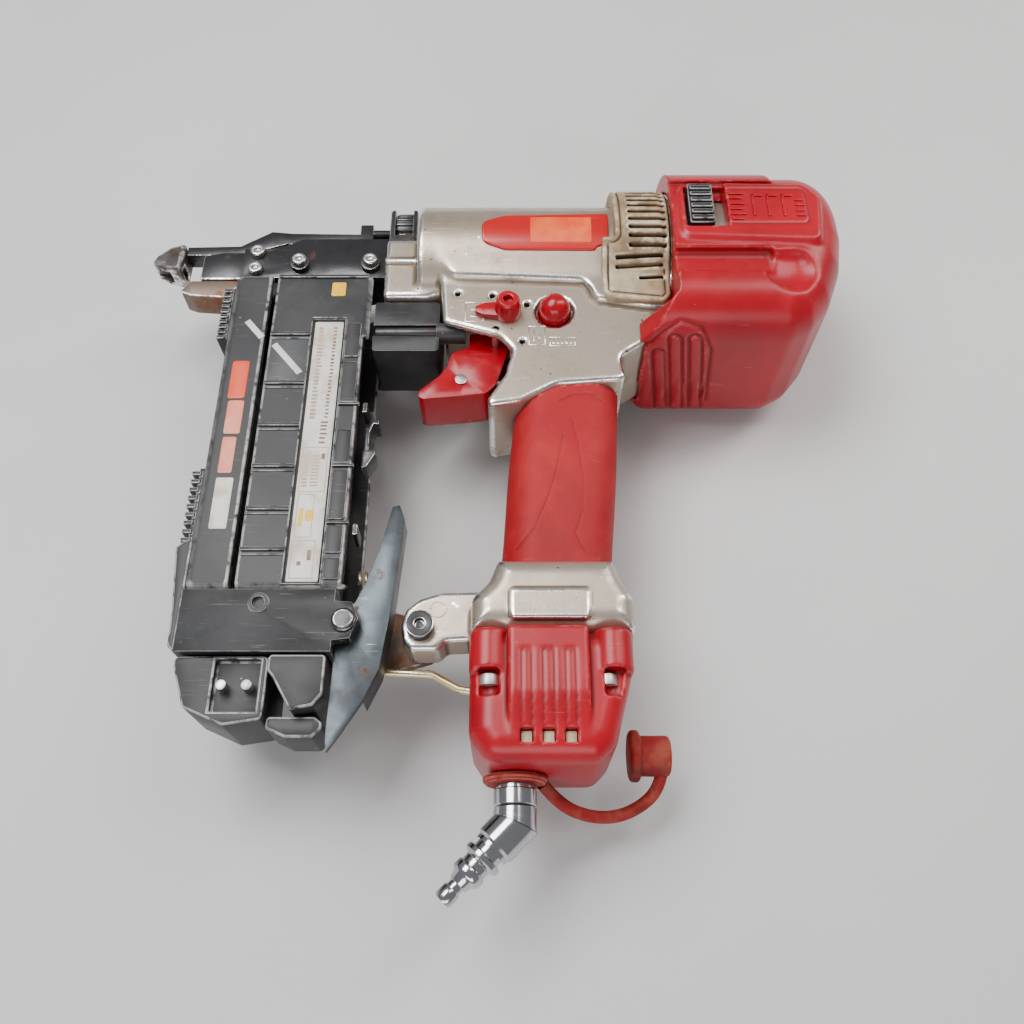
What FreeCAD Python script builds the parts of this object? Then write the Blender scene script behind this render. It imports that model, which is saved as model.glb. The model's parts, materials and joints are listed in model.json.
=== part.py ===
import FreeCAD, Part
import math
import os
import Sketcher

# A pneumatic floor nailer lying on its side.
# +X runs along the barrel to the rear cap, -X to the nose, +Y is the barrel side,
# -Y the foot of the grip, and +Z stands up from the surface that it lies on.
# The tool's middle plane is parallel to that surface.

doc = FreeCAD.newDocument("FloorNailer")
sheet = doc.addObject("Spreadsheet::Sheet", "Sizes")
sheet_row = 0
pieces = []


class Size:
    """A number together with the sheet expression that gives it."""

    def __init__(self, value, text=None):
        self.value = float(value)
        self.text = text or repr(float(value))

    def __add__(self, other):
        other = size(other)
        return Size(self.value + other.value, f"({self.text} + {other.text})")

    def __sub__(self, other):
        other = size(other)
        return Size(self.value - other.value, f"({self.text} - {other.text})")

    def __mul__(self, other):
        other = size(other)
        return Size(self.value * other.value, f"({self.text} * {other.text})")

    def __truediv__(self, other):
        other = size(other)
        return Size(self.value / other.value, f"({self.text} / {other.text})")

    def __neg__(self):
        return Size(-self.value, f"(0 - {self.text})")

    def __radd__(self, other):
        return size(other) + self

    def __rsub__(self, other):
        return size(other) - self

    def __rmul__(self, other):
        return size(other) * self


def size(value):
    return value if isinstance(value, Size) else Size(value)


def cell(name, value, note):
    """Write one driving dimension into the sheet and return it as a Size."""
    global sheet_row
    sheet_row += 1
    sheet.set(f"A{sheet_row}", name)
    sheet.set(f"B{sheet_row}", str(value))
    sheet.set(f"C{sheet_row}", note)
    sheet.setAlias(f"B{sheet_row}", name)
    return Size(value, f"Sizes.{name}")


# ---- driving dimensions, millimetres and degrees ----

tool_width = cell("tool_width", 82, "across the rear cap, the widest piece")
rear_x = cell("rear_x", 140, "rear end of the cap")
nose_x = cell("nose_x", -151.5, "tip of the contact foot")
top_y = cell("top_y", 147.8, "highest line of the cap, opposite the grip")
axis_y = cell("axis_y", 107, "line of the barrel, the piston and the driver")
origin_shift = cell("origin_shift", 5.75, "moves the finished tool along X so that it is centred")

barrel_front_x = cell("barrel_front_x", -34, "front end of the barrel")
barrel_outer_r = cell("barrel_outer_r", 27.5, "outside of the barrel")
rear_flange_r = cell("rear_flange_r", 33, "barrel flange under the cap")
rear_flange_x = cell("rear_flange_x", 69.2, "front of that flange")
rear_flange_end = cell("rear_flange_end", 98, "rear end of the casting")
bore_r = cell("bore_r", 24.5, "inside of the barrel")
casting_wall = cell("casting_wall", 4, "front wall of the barrel")
sleeve_inner_r = cell("sleeve_inner_r", 17.5, "bore of the cylinder sleeve")
sleeve_wall = cell("sleeve_wall", 2.5, "wall of the cylinder sleeve")
run_gap = cell("run_gap", 0.05, "radial running clearance")
part_gap = cell("part_gap", 0.3, "gap between pieces that move past each other")
piston_length = cell("piston_length", 14, "length of the piston")
bumper_length = cell("bumper_length", 11, "rubber bumper at the front of the bore")
blade_width = cell("blade_width", 5.5, "driver blade across the tool")
blade_thick = cell("blade_thick", 1.6, "driver blade thickness")
blade_tip_x = cell("blade_tip_x", -54, "front end of the driver at rest")
body_half = cell("body_half", 20, "half thickness of the body's side panels")
shelf_half = cell("shelf_half", 16, "half thickness of the front block")
shelf_x = cell("shelf_x", -48, "front face of the front block")

cap_wall = cell("cap_wall", 3, "wall of the cap cover")
cap_front_x = cell("cap_front_x", 69, "front edge of the cap cover")
cap_round = cell("cap_round", 19, "rounding round the cap cover's rear")
lobe_y = cell("lobe_y", 54, "lowest line of the cap's lobe")
lobe_front_x = cell("lobe_front_x", 53, "front of the lobe")
knob_travel = cell("knob_travel", 4, "travel of the exhaust slide knob")
knob_x = cell("knob_x", 76, "front of the slide knob at rest")
knob_y = cell("knob_y", 109.5, "middle of the slide knob")

grip_x = cell("grip_x", 24, "middle of the grip where it meets the body")
grip_y = cell("grip_y", 0, "height line that the grip leans about")
grip_lean = cell("grip_lean", 4.5, "lean of the grip in degrees")
grip_width = cell("grip_width", 41, "grip sleeve, front to back")
grip_thick = cell("grip_thick", 38, "grip sleeve, side to side")
grip_length = cell("grip_length", 83, "length of the grip sleeve")
grip_wall = cell("grip_wall", 3.5, "wall of the grip sleeve")
handle_wall = cell("handle_wall", 4, "wall of the hollow handle")
end_cap_length = cell("end_cap_length", 40, "length of the end cap")
end_cap_width = cell("end_cap_width", 54, "end cap, front to back")
end_cap_half = cell("end_cap_half", 28, "half thickness of the end cap")
neck_y = cell("neck_y", -66, "joint between the handle's foot and the end cap")

inlet_x = cell("inlet_x", 6, "line of the air inlet")
inlet_r = cell("inlet_r", 7.3, "outside of the inlet swivel")
inlet_joint_y = cell("inlet_joint_y", -119.6, "joint between the collar and the swivel")
miter_y = cell("miter_y", -125, "middle of the slanted swivel joint")
miter_angle = cell("miter_angle", 22.5, "slant of that joint in degrees")
plug_length = cell("plug_length", 33, "slanted joint to the end of the plug")
plug_r = cell("plug_r", 3.2, "front end of the air plug")

magazine_front_x = cell("magazine_front_x", -109, "front of the magazine cover")
magazine_rear_x = cell("magazine_rear_x", -52, "rear edge of the magazine cover")
magazine_top_y = cell("magazine_top_y", 92, "upper end of the magazine cover")
magazine_low_y = cell("magazine_low_y", -49, "lower end of the magazine cover")
magazine_half = cell("magazine_half", 17, "half thickness of the magazine cover")
magazine_wall = cell("magazine_wall", 2.4, "wall of the magazine cover")
rail_half = cell("rail_half", 10, "half thickness of the inner magazine rail")
rail_wall = cell("rail_wall", 1.5, "sheet thickness of the inner rail")
foot_low_y = cell("foot_low_y", -99, "lowest line of the magazine's foot")
bracket_thick = cell("bracket_thick", 4, "plate between the magazine and the lug")
lug_bolt_x = cell("lug_bolt_x", -27, "bolt through the lug")
lug_bolt_y = cell("lug_bolt_y", -60, "bolt through the lug")
lug_bolt_r = cell("lug_bolt_r", 3, "shank of the lug bolt")
lug_half = cell("lug_half", 8, "half thickness of the lug")

lever_x = cell("lever_x", -52.5, "pivot of the latch lever")
lever_y = cell("lever_y", -60.7, "pivot of the latch lever")
lever_pin_r = cell("lever_pin_r", 2.5, "pin of the latch lever")
trigger_x = cell("trigger_x", -1.5, "pivot of the trigger")
trigger_y = cell("trigger_y", 61, "pivot of the trigger")
trigger_pin_r = cell("trigger_pin_r", 1.75, "pin of the trigger")
trigger_half = cell("trigger_half", 10, "half width of the trigger channel")
trigger_wall = cell("trigger_wall", 1.6, "sheet thickness of the trigger")
rivet_x = cell("rivet_x", -15.3, "rivet of the contact lever")
rivet_y = cell("rivet_y", 43.6, "rivet of the contact lever")
valve_y = cell("valve_y", 50, "line of the trigger valve's stem")
lock_x = cell("lock_x", 3.4, "axis of the trigger lock knob")
lock_y = cell("lock_y", 69, "axis of the trigger lock knob")
button_x = cell("button_x", 22, "axis of the side button")
button_y = cell("button_y", 70, "axis of the side button")
button_r = cell("button_r", 6, "radius of the side button")

bar_half = cell("bar_half", 4, "half thickness of the contact bar")
dial_r = cell("dial_r", 9, "radius of the depth dial")
guide_half = cell("guide_half", 9, "half thickness of the driver guide")

mid = tool_width / 2


# ---- helpers ----

def bind(thing, path, value):
    """Set one property of an object and tie it to the sheet."""
    value = size(value)
    thing.setExpression(path, value.text)


def vector(*values):
    return FreeCAD.Vector(*[size(value).value for value in values])


def place(thing, x=0, y=0, z=0, turn=None):
    """Put an object at x, y, z, which stay tied to the sheet, turned by a Rotation."""
    thing.Placement = FreeCAD.Placement(vector(x, y, z), turn or FreeCAD.Rotation())
    for axis, value in (("x", x), ("y", y), ("z", z)):
        bind(thing, f"Placement.Base.{axis}", value)
    return thing


def new_body(name):
    body = doc.addObject("PartDesign::Body", name)
    body.Label = name
    return body


def new_sketch(body, name, role="XY_Plane"):
    sketch = body.newObject("Sketcher::SketchObject", name)
    plane = [item for item in body.Origin.OriginFeatures if item.Role == role][0]
    sketch.AttachmentSupport = [(plane, "")]
    sketch.MapMode = "FlatFace"
    return sketch


def fix_point(sketch, index, end, x, y):
    """Dimension one end of a sketch line from the sketch's origin."""
    for kind, value in (("DistanceX", x), ("DistanceY", y)):
        value = size(value)
        number = sketch.addConstraint(Sketcher.Constraint(kind, -1, 1, index, end, value.value))
        sketch.setExpression(f"Constraints[{number}]", value.text)


def draw_outline(sketch, points):
    """A closed outline of straight lines through dimensioned points."""
    count = len(points)
    start = sketch.GeometryCount
    for i in range(count):
        first = vector(*points[i], 0)
        last = vector(*points[(i + 1) % count], 0)
        sketch.addGeometry(Part.LineSegment(first, last), False)
    for i in range(count):
        following = start + (i + 1) % count
        sketch.addConstraint(Sketcher.Constraint("Coincident", start + i, 2, following, 1))
    for i in range(count):
        fix_point(sketch, start + i, 1, *points[i])


def draw_circle(sketch, x, y, radius):
    radius = size(radius)
    circle = Part.Circle(vector(x, y, 0), FreeCAD.Vector(0, 0, 1), radius.value)
    index = sketch.addGeometry(circle, False)
    fix_point(sketch, index, 3, x, y)
    number = sketch.addConstraint(Sketcher.Constraint("Radius", index, radius.value))
    sketch.setExpression(f"Constraints[{number}]", radius.text)


def draw(body, outline=None, circles=(), role="XY_Plane"):
    sketch = new_sketch(body, body.Label + "_sketch", role)
    if outline:
        draw_outline(sketch, outline)
    for circle in circles:
        draw_circle(sketch, *circle)
    return sketch


def pad(body, sketch, length, both_ways=False):
    feature = body.newObject("PartDesign::Pad", body.Label + "_pad")
    feature.Profile = sketch
    feature.SideType = "Symmetric" if both_ways else "One side"
    bind(feature, "Length", length)
    doc.recompute()
    return feature


def cut_away(body, feature):
    """Check that a pocket takes material away, and turn it round if it doesn't."""
    doc.recompute()
    before = feature.BaseFeature.Shape.Volume
    if not feature.Shape.Volume < before - 0.01:
        feature.Reversed = not feature.Reversed
        doc.recompute()
    if not feature.Shape.Volume < before - 0.01:
        raise ValueError(f"{body.Label}: {feature.Name} cuts nothing")


def pocket(body, length, outline=None, circles=(), both_ways=False, role="XY_Plane", lift=0):
    """Cut an outline or circles into a body, from its origin plane lifted by lift."""
    sketch = draw(body, outline, circles, role)
    bind(sketch, "AttachmentOffset.Base.z", lift)
    feature = body.newObject("PartDesign::Pocket", body.Label + "_pocket")
    feature.Profile = sketch
    feature.SideType = "Symmetric" if both_ways else "One side"
    bind(feature, "Length", length)
    cut_away(body, feature)
    return feature


def prism(name, outline, thickness, x=0, y=0, z=mid, circles=(), both_ways=True, turn=None):
    """A plate or block: an outline in the XY plane, as thick as said, about its middle."""
    body = new_body(name)
    pad(body, draw(body, outline, circles), thickness, both_ways)
    return place(body, x, y, z, turn)


def turned(name, profile, x, y, z, turn=None):
    """A turned piece: (distance along the axis, radius) points, spun about local X."""
    body = new_body(name)
    sketch = draw(body, profile)
    feature = body.newObject("PartDesign::Revolution", name + "_revolution")
    feature.Profile = sketch
    feature.ReferenceAxis = (sketch, ["H_Axis"])
    feature.Angle = 360
    doc.recompute()
    return place(body, x, y, z, turn)


def round_edges(body, radius, wanted, kind="Fillet"):
    """Fillet or chamfer the edges of a body that wanted(edge) picks."""
    base = body.Tip
    names = [f"Edge{i + 1}" for i, edge in enumerate(base.Shape.Edges) if wanted(edge)]
    feature = body.newObject("PartDesign::" + kind, body.Label + "_" + kind.lower())
    feature.Base = (base, names)
    bind(feature, "Radius" if kind == "Fillet" else "Size", radius)
    doc.recompute()
    return body


def upright(edge):
    """Edges that run along local Z: the corners of a prism."""
    start = edge.Vertexes[0].Point
    end = edge.Vertexes[-1].Point
    return abs(start.x - end.x) < 0.01 and abs(start.y - end.y) < 0.01


def flat_rim(edge):
    """Edges in the two faces of a prism."""
    start = edge.Vertexes[0].Point
    end = edge.Vertexes[-1].Point
    return abs(start.z - end.z) < 0.01 and not upright(edge)


def box(name, low, high):
    """A block between two corners."""
    block = doc.addObject("Part::Box", name)
    block.Label = name
    for prop, i in (("Length", 0), ("Width", 1), ("Height", 2)):
        bind(block, prop, size(high[i]) - size(low[i]))
    return place(block, *low)


def cylinder(name, radius, length, x, y, z, turn=None):
    rod = doc.addObject("Part::Cylinder", name)
    rod.Label = name
    bind(rod, "Radius", radius)
    bind(rod, "Height", length)
    return place(rod, x, y, z, turn)


def fuse(name, *shapes):
    joined = doc.addObject("Part::MultiFuse", name)
    joined.Label = name
    joined.Shapes = list(shapes)
    joined.Refine = True
    doc.recompute()
    return joined


def group(name, *shapes):
    """Separate solids of one kind that share a node."""
    together = doc.addObject("Part::Compound", name)
    together.Label = name
    together.Links = list(shapes)
    doc.recompute()
    return together


def cut(name, base, *tools):
    """Take the tools away from a base."""
    result = base
    for i, tool in enumerate(tools):
        last = i == len(tools) - 1
        step = doc.addObject("Part::Cut", name if last else f"{name}_step_{i + 1}")
        step.Base = result
        step.Tool = tool
        doc.recompute()
        result = step
    result.Label = name
    return result


def keep(thing):
    """List a finished sub-part for export."""
    pieces.append(thing)
    return thing


def coil(name, radius, wire_r, length, turns, x, y, z, turn=None):
    """A coil spring of round wire that stands on x, y, z and runs along local Z."""
    helix = doc.addObject("Part::Helix", name + "_line")
    bind(helix, "Radius", radius)
    bind(helix, "Height", length)
    bind(helix, "Pitch", size(length) / turns)
    wire = doc.addObject("Part::Circle", name + "_wire")
    bind(wire, "Radius", wire_r)
    place(wire, radius, 0, 0, FreeCAD.Rotation(FreeCAD.Vector(1, 0, 0), 90))
    sweep = doc.addObject("Part::Sweep", name)
    sweep.Label = name
    sweep.Sections = [wire]
    sweep.Spine = (helix, ["Edge1"])
    sweep.Solid = True
    sweep.Frenet = True
    doc.recompute()
    return place(sweep, x, y, z, turn)


def rounded_route(points, closest_bends=None):
    """Straight runs joined by tangent arcs, as large as the runs beside them allow."""
    points = [vector(*point) for point in points]
    radii = []
    edges = []
    start = points[0]
    for before, corner, after in zip(points, points[1:], points[2:]):
        arrive = (corner - before).normalize()
        leave = (after - corner).normalize()
        half_turn = arrive.getAngle(leave) / 2
        shorter = min((corner - before).Length, (after - corner).Length)
        reach = 0.45 * shorter
        if closest_bends:
            reach = min(reach, closest_bends * math.tan(half_turn))
        radii.append(reach / math.tan(half_turn))
        first = corner - arrive * reach
        last = corner + leave * reach
        bulge = (leave - arrive).normalize()
        depth = radii[-1] * (1 / math.cos(half_turn) - 1)
        middle = corner + bulge * depth
        edges.append(Part.LineSegment(start, first).toShape())
        edges.append(Part.Arc(first, middle, last).toShape())
        start = last
    edges.append(Part.LineSegment(start, points[-1]).toShape())
    return Part.Wire(edges), radii


def tube(name, points, radius, closest_bends=None):
    """A round cord or wire along a route of chosen points."""
    route, radii = rounded_route(points, closest_bends)
    start = vector(*points[0])
    circle = Part.Circle(start, vector(*points[1]) - start, size(radius).value)
    section = Part.Wire([circle.toShape()])
    thing = doc.addObject("Part::Feature", name)
    thing.Label = name
    thing.Shape = route.makePipeShell([section], True, False)
    expected = math.pi * size(radius).value ** 2 * route.Length
    print(name, "radii", [round(r, 1) for r in radii], "length", round(route.Length, 1))
    print(name, "volume", round(thing.Shape.Volume, 1), "expected", round(expected, 1))
    return thing


ALONG_X = FreeCAD.Rotation(FreeCAD.Vector(0, 1, 0), 90)
ALONG_Y = FreeCAD.Rotation(FreeCAD.Vector(1, 0, 0), -90)
TURN_TO_Y = FreeCAD.Rotation(FreeCAD.Vector(0, 0, 1), 90)
TURN_TO_Z = FreeCAD.Rotation(FreeCAD.Vector(0, 1, 0), -90)
GRIP_TURN = FreeCAD.Rotation(FreeCAD.Vector(0, 0, 1), -grip_lean.value)


def rectangle(x_low, x_high, y_low, y_high):
    return [(x_low, y_low), (x_high, y_low), (x_high, y_high), (x_low, y_high)]


def bore_x(name, radius, x_low, x_high, y, z=mid):
    """A cylinder along X between two stations."""
    return cylinder(name, radius, size(x_high) - size(x_low), x_low, y, z, ALONG_X)


# ---- body casting ----

def barrel():
    length = rear_flange_end - barrel_front_x
    flange = rear_flange_x - barrel_front_x
    profile = [
        (0, 0), (0, barrel_outer_r - 2), (2, barrel_outer_r), (flange, barrel_outer_r),
        (flange, rear_flange_r), (length, rear_flange_r), (length, 0),
    ]
    return turned("barrel", profile, barrel_front_x, axis_y, mid)


def panel_outline():
    return [
        (-24, 90), (-24, 84), (-22.5, 65), (0, 58), (5, 51.5), (2.5, 40), (-4.5, 28),
        (-3.5, 25), (8, 27), (22, 35), (46, 37), (49, 38), (47, 48), (66, 61), (66, 90),
    ]


def side_panels():
    panels = prism("side_panels", panel_outline(), body_half * 2)
    return round_edges(panels, 1.2, flat_rim, "Chamfer")


def front_block():
    outline = rectangle(shelf_x, barrel_front_x + 2, 81, 112)
    return round_edges(prism("front_block", outline, shelf_half * 2), 2, upright)


def handle_core():
    half = grip_width / 2 - grip_wall
    outline = rectangle(-half, half, -46, 48)
    core = prism("handle_core", outline, grip_thick - grip_wall * 2, grip_x, grip_y,
                 turn=GRIP_TURN)
    return round_edges(core, 9, lambda edge: abs(edge.tangentAt(edge.FirstParameter).y) > 0.99)


def bell():
    outline = [
        (0, -43.5), (40, -43.5), (46.5, -52), (46.5, neck_y), (-9, neck_y), (-9, -52),
    ]
    foot = prism("bell", outline, end_cap_half * 2 - 6)
    return round_edges(foot, 3, flat_rim, "Chamfer")


def lug():
    outline = [
        (-34, -59), (-32.5, -53), (-27.5, -49), (-20, -46.5), (-4, -44.5), (-4, -64),
        (-18, -65), (-21, -68), (-30, -68), (-33, -65),
    ]
    return prism("lug", outline, lug_half * 2)


def side_holes():
    """Blind holes in the near side panel."""
    places = [(-17, 79), (-3, 78), (11, 73.5), (9, 55)]
    depth = 5
    return [
        cylinder(f"side_hole_{i + 1}", 1.25, depth + 1, x, y, mid + body_half - depth)
        for i, (x, y) in enumerate(places)
    ]


def body_casting():
    solid = fuse("casting_solid", barrel(), side_panels(), front_block(), handle_core(),
                 bell(), lug())
    back = barrel_front_x + casting_wall
    hollow_half = grip_width / 2 - grip_wall - handle_wall
    hollow = prism("handle_hollow", rectangle(-hollow_half, hollow_half, -75, 30),
                   grip_thick - (grip_wall + handle_wall) * 2, grip_x, grip_y, turn=GRIP_TURN)
    slot = blade_thick / 2 + part_gap
    blade_slot = box("blade_slot", (shelf_x - 1, axis_y - slot, mid - blade_width / 2 - part_gap),
                     (back + 1, axis_y + slot, mid + blade_width / 2 + part_gap))
    trigger_slot = box("trigger_slot", (-26, 53, mid - body_half + 3),
                       (6.5, 72.5, mid + body_half - 3))
    cuts = [
        bore_x("barrel_bore", bore_r, back, rear_flange_end + 1, axis_y),
        hollow,
        blade_slot,
        trigger_slot,
        cylinder("trigger_pin_hole", trigger_pin_r, tool_width, trigger_x, trigger_y, 0),
        bore_x("valve_bore", 7, -5, 28, valve_y),
        cylinder("lock_hole", 3 + run_gap, 12, lock_x, lock_y, mid + body_half - 8),
        cylinder("button_recess", button_r + 1.8, 4, button_x, button_y, mid + body_half - 1.5),
        cylinder("button_hole", button_r + run_gap, 11, button_x, button_y, mid + body_half - 10),
        cylinder("lug_hole", lug_bolt_r + 0.1, 40, lug_bolt_x, lug_bolt_y, mid - 20),
    ]
    return keep(cut("body_casting", solid, *cuts, *side_holes()))


def cylinder_sleeve():
    front = barrel_front_x + casting_wall
    length = rear_flange_end - front
    outer = sleeve_inner_r + sleeve_wall
    profile = [
        (0, sleeve_inner_r), (0, bore_r), (6, bore_r), (6, outer), (length - 8, outer),
        (length - 8, bore_r), (length, bore_r), (length, sleeve_inner_r),
    ]
    return keep(turned("cylinder_sleeve", profile, front, axis_y, mid))


def bumper():
    hole = blade_width / 2 + 1
    profile = [
        (0, hole), (0, sleeve_inner_r), (bumper_length - 4, sleeve_inner_r),
        (bumper_length, sleeve_inner_r - 4), (bumper_length, hole),
    ]
    return keep(turned("bumper", profile, barrel_front_x + casting_wall, axis_y, mid))


def piston():
    outer = sleeve_inner_r - run_gap
    groove = outer - 2
    profile = [
        (0, 0), (0, outer - 1), (1, outer), (5, outer), (5, groove), (8, groove), (8, outer),
        (piston_length - 1, outer), (piston_length, outer - 1), (piston_length, 5),
        (piston_length - 6, 5), (piston_length - 6, 0),
    ]
    front = rear_flange_end - piston_length
    keep(turned("piston", profile, front, axis_y, mid))
    ring = [(5, groove), (5, outer), (8, outer), (8, groove)]
    keep(turned("piston_ring", ring, front, axis_y, mid))
    half = blade_width / 2
    keep(box("driver_blade", (blade_tip_x, axis_y - blade_thick / 2, mid - half),
             (front, axis_y + blade_thick / 2, mid + half)))


def head():
    length = rear_x - cap_wall - 8 - rear_flange_end
    chamber = sleeve_inner_r + 5
    profile = [
        (0, chamber), (0, rear_flange_r), (length - 5, rear_flange_r), (length, rear_flange_r - 8),
        (length, 0), (28, 0), (28, chamber),
    ]
    keep(turned("head_cap", profile, rear_flange_end, axis_y, mid))
    valve = [
        (0.2, 13), (0.2, chamber - 0.2), (5, chamber - 0.2), (5, chamber - 2), (8, chamber - 2),
        (8, chamber - 0.2), (13, chamber - 0.2), (13, 17), (4, 17), (4, 13),
    ]
    keep(turned("head_valve", valve, rear_flange_end, axis_y, mid))
    folds = 5
    fold = 2.95
    leaf = 1.1
    zigzag = [(13.1 + fold * i, 20.6 if i % 2 else 18.4) for i in range(folds + 1)]
    spring = zigzag + [(along, radius - leaf) for along, radius in reversed(zigzag)]
    keep(turned("head_valve_spring", spring, rear_flange_end, axis_y, mid))


# ---- rear cap ----

def cap_block():
    """The cap's outer shape: round over the barrel, with a lobe that reaches to the grip."""
    outline = [
        (cap_front_x, top_y), (116, top_y), (130, 143.5), (rear_x - 3, 135), (rear_x, 122),
        (rear_x, 98), (rear_x - 2, 84), (rear_x - 6.5, 69), (127, 60), (117, lobe_y),
        (lobe_front_x + 2, lobe_y), (lobe_front_x, lobe_y + 4), (cap_front_x, 66),
    ]
    block = round_edges(prism("cap_blank", outline, tool_width), cap_round, cap_rim)
    above = box("above_barrel", (cap_front_x - 1, 112, -1), (rear_x + 1, top_y + 5, tool_width + 1))
    drum = bore_x("cap_drum", tool_width / 2 + 0.5, cap_front_x - 2, rear_x + 2, axis_y)
    panel = box("cap_side_panels", (73, 100, -2), (118, 119, tool_width + 2))
    return cut("cap_outer", block, cut("cap_shoulders", above, drum, panel))


def cap_rim(edge):
    """Edges round the two sides of the cap, without its open front and the lobe."""
    start = edge.Vertexes[0].Point
    end = edge.Vertexes[-1].Point
    front = cap_front_x.value + cap_wall.value
    return flat_rim(edge) and max(start.x, end.x) > front and min(start.y, end.y) > 68


def exhaust_knob_window():
    knob_length = 10
    return box("knob_window", (knob_x - 1, knob_y - 12, mid + tool_width / 2 - 8),
               (knob_x + knob_length + knob_travel + 1, knob_y + 12, tool_width + 1))


def cap_cover():
    outer = cap_block()
    cavity = bore_x("cap_cavity", rear_flange_r + part_gap, cap_front_x - 20,
                    rear_x - cap_wall - 7, axis_y)
    vent_room = bore_x("cap_mouth", rear_flange_r + 2, lobe_front_x - 5, cap_front_x + 3, axis_y)
    neck_room = prism("cap_neck_room", panel_outline(), (body_half + part_gap) * 2)
    keep(cut("cap_cover", outer, cavity, vent_room, neck_room, exhaust_knob_window()))


def slide_knob():
    outline = rectangle(knob_x, knob_x + 10, knob_y - 10.5, knob_y + 10.5)
    knob = prism("slide_knob_block", outline, 6, z=tool_width - 4.7)
    ribs = [
        box(f"knob_rib_{i + 1}", (knob_x + 1.5 + 3 * i, knob_y - 9.5, tool_width - 1.8),
            (knob_x + 2.7 + 3 * i, knob_y + 9.5, tool_width - 0.5))
        for i in range(3)
    ]
    keep(fuse("exhaust_slide_knob", round_edges(knob, 1, upright), *ribs))


def vent_cover():
    """A curved grille over the exhaust, wrapped round the barrel."""
    outer_r = rear_flange_r + 1
    ring = cut("vent_ring", bore_x("vent_outer", outer_r, 45, cap_front_x - part_gap, axis_y),
               bore_x("vent_inner", barrel_outer_r + 0.05, 44, cap_front_x + 1, axis_y))
    keep_out = [
        box("vent_low_cut", (40, 60, -5), (80, axis_y + 20, mid - 4)),
        box("vent_under_cut", (40, 60, mid - 5), (80, 82, mid + 9)),
        prism("vent_panel_cut", panel_outline(), body_half * 2),
    ]
    slots = [
        box(f"vent_slot_{i + 1}", (51, 88 + 5 * i, mid + 20), (65, 90.2 + 5 * i, tool_width))
        for i in range(9)
    ]
    keep(cut("exhaust_vent_cover", ring, *keep_out, fuse("vent_slots", *slots)))


def name_plate():
    """A thin curved plate on the barrel's side."""
    ring = cut("plate_ring", bore_x("plate_outer", barrel_outer_r + 1.1, -7, 44.5, axis_y),
               bore_x("plate_inner", barrel_outer_r, -8, 46, axis_y))
    common = doc.addObject("Part::Common", "name_plate")
    common.Label = "name_plate"
    common.Base = ring
    common.Tool = box("plate_window", (-8, 97, mid), (46, 121, tool_width))
    doc.recompute()
    keep(common)


# ---- grip and end cap ----

def grip_sleeve():
    half = grip_width / 2
    core = half - grip_wall
    outline = rectangle(-half, half, -grip_length / 2 - 1, grip_length / 2 - 1)
    sleeve = prism("grip_blank", outline, grip_thick, grip_x, grip_y, turn=GRIP_TURN)
    along = lambda edge: abs(edge.tangentAt(edge.FirstParameter).y) > 0.99
    round_edges(sleeve, 12, along)
    hole = prism("grip_hole", rectangle(-core, core, -60, 60), grip_thick - grip_wall * 2,
                 grip_x, grip_y, turn=GRIP_TURN)
    round_edges(hole, 9, along)
    panel_room = prism("grip_panel_room", panel_outline(), body_half * 2)
    bell_room = prism("grip_bell_room", rectangle(-20, 60, -60, -43.5), tool_width)
    keep(cut("grip_sleeve", sleeve, hole, panel_room, bell_room))


def end_cap():
    low = neck_y - end_cap_length - 4
    left = size(-9)
    right = left + end_cap_width
    outline = [
        (left, neck_y), (right + 1, neck_y), (right - 1, -80),
        (right - 6.5, low + 4), (right - 12, low), (left + 5, low), (left, low + 9),
    ]
    shell = round_edges(prism("end_cap_shell", outline, end_cap_half * 2 - 4), 6, end_cap_rim)
    panel = prism("end_cap_panel", rectangle(4, 29.5, low + 7, neck_y - 1), end_cap_half * 2)
    panel = round_edges(panel, 1.5, flat_rim)
    bosses = []
    for side in (-1, 1):
        for number, x in enumerate((-2.5, 36)):
            bosses.append(cylinder(f"cap_boss_{side + 2}_{number + 1}", 6, 16, x, neck_y - 16,
                                   mid + side * (end_cap_half - 7), ALONG_Y))
    solid = fuse("end_cap_solid", shell, panel, *bosses)
    grooves = [
        box(f"cap_groove_{i + 1}", (8.5 + 6.5 * i, low + 12, mid + end_cap_half - 1.5),
            (11.5 + 6.5 * i, neck_y - 8, tool_width))
        for i in range(3)
    ]
    chamber = cylinder("filter_chamber", 15, end_cap_length - 10, 16, low + 14, mid, ALONG_Y)
    inlet = cylinder("inlet_hole", 5.5, 30, inlet_x, low - 1, mid, ALONG_Y)
    keep(cut("end_cap", solid, *grooves, chamber, inlet, *cap_screw_holes()))


def end_cap_rim(edge):
    """Edges round the two sides of the end cap, without its joint face."""
    start = edge.Vertexes[0].Point
    end = edge.Vertexes[-1].Point
    joint = neck_y.value - 0.1
    return flat_rim(edge) and min(start.y, end.y) < joint


def cap_screw_places():
    return [
        (x, side * (end_cap_half - 7))
        for side in (-1, 1)
        for x in (-2.5, 36)
    ]


def cap_screw_holes():
    return [
        cylinder(f"cap_screw_hole_{i + 1}", 3.6, 12, x, neck_y - 24, mid + z, ALONG_Y)
        for i, (x, z) in enumerate(cap_screw_places())
    ]


def end_cap_screws():
    screws = []
    for i, (x, z) in enumerate(cap_screw_places()):
        head = [(0, 0), (0, 3.4), (3.5, 3.4), (3.5, 1.6), (3.6, 1.6), (3.6, 0)]
        screw = turned(f"end_cap_screw_{i + 1}", head, x, neck_y - 15.8, mid + z,
                       FreeCAD.Rotation(FreeCAD.Vector(0, 0, 1), -90))
        screws.append(screw)
    keep(group("end_cap_screws", *screws))


# ---- air inlet, swivel and dust cap ----

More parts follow.
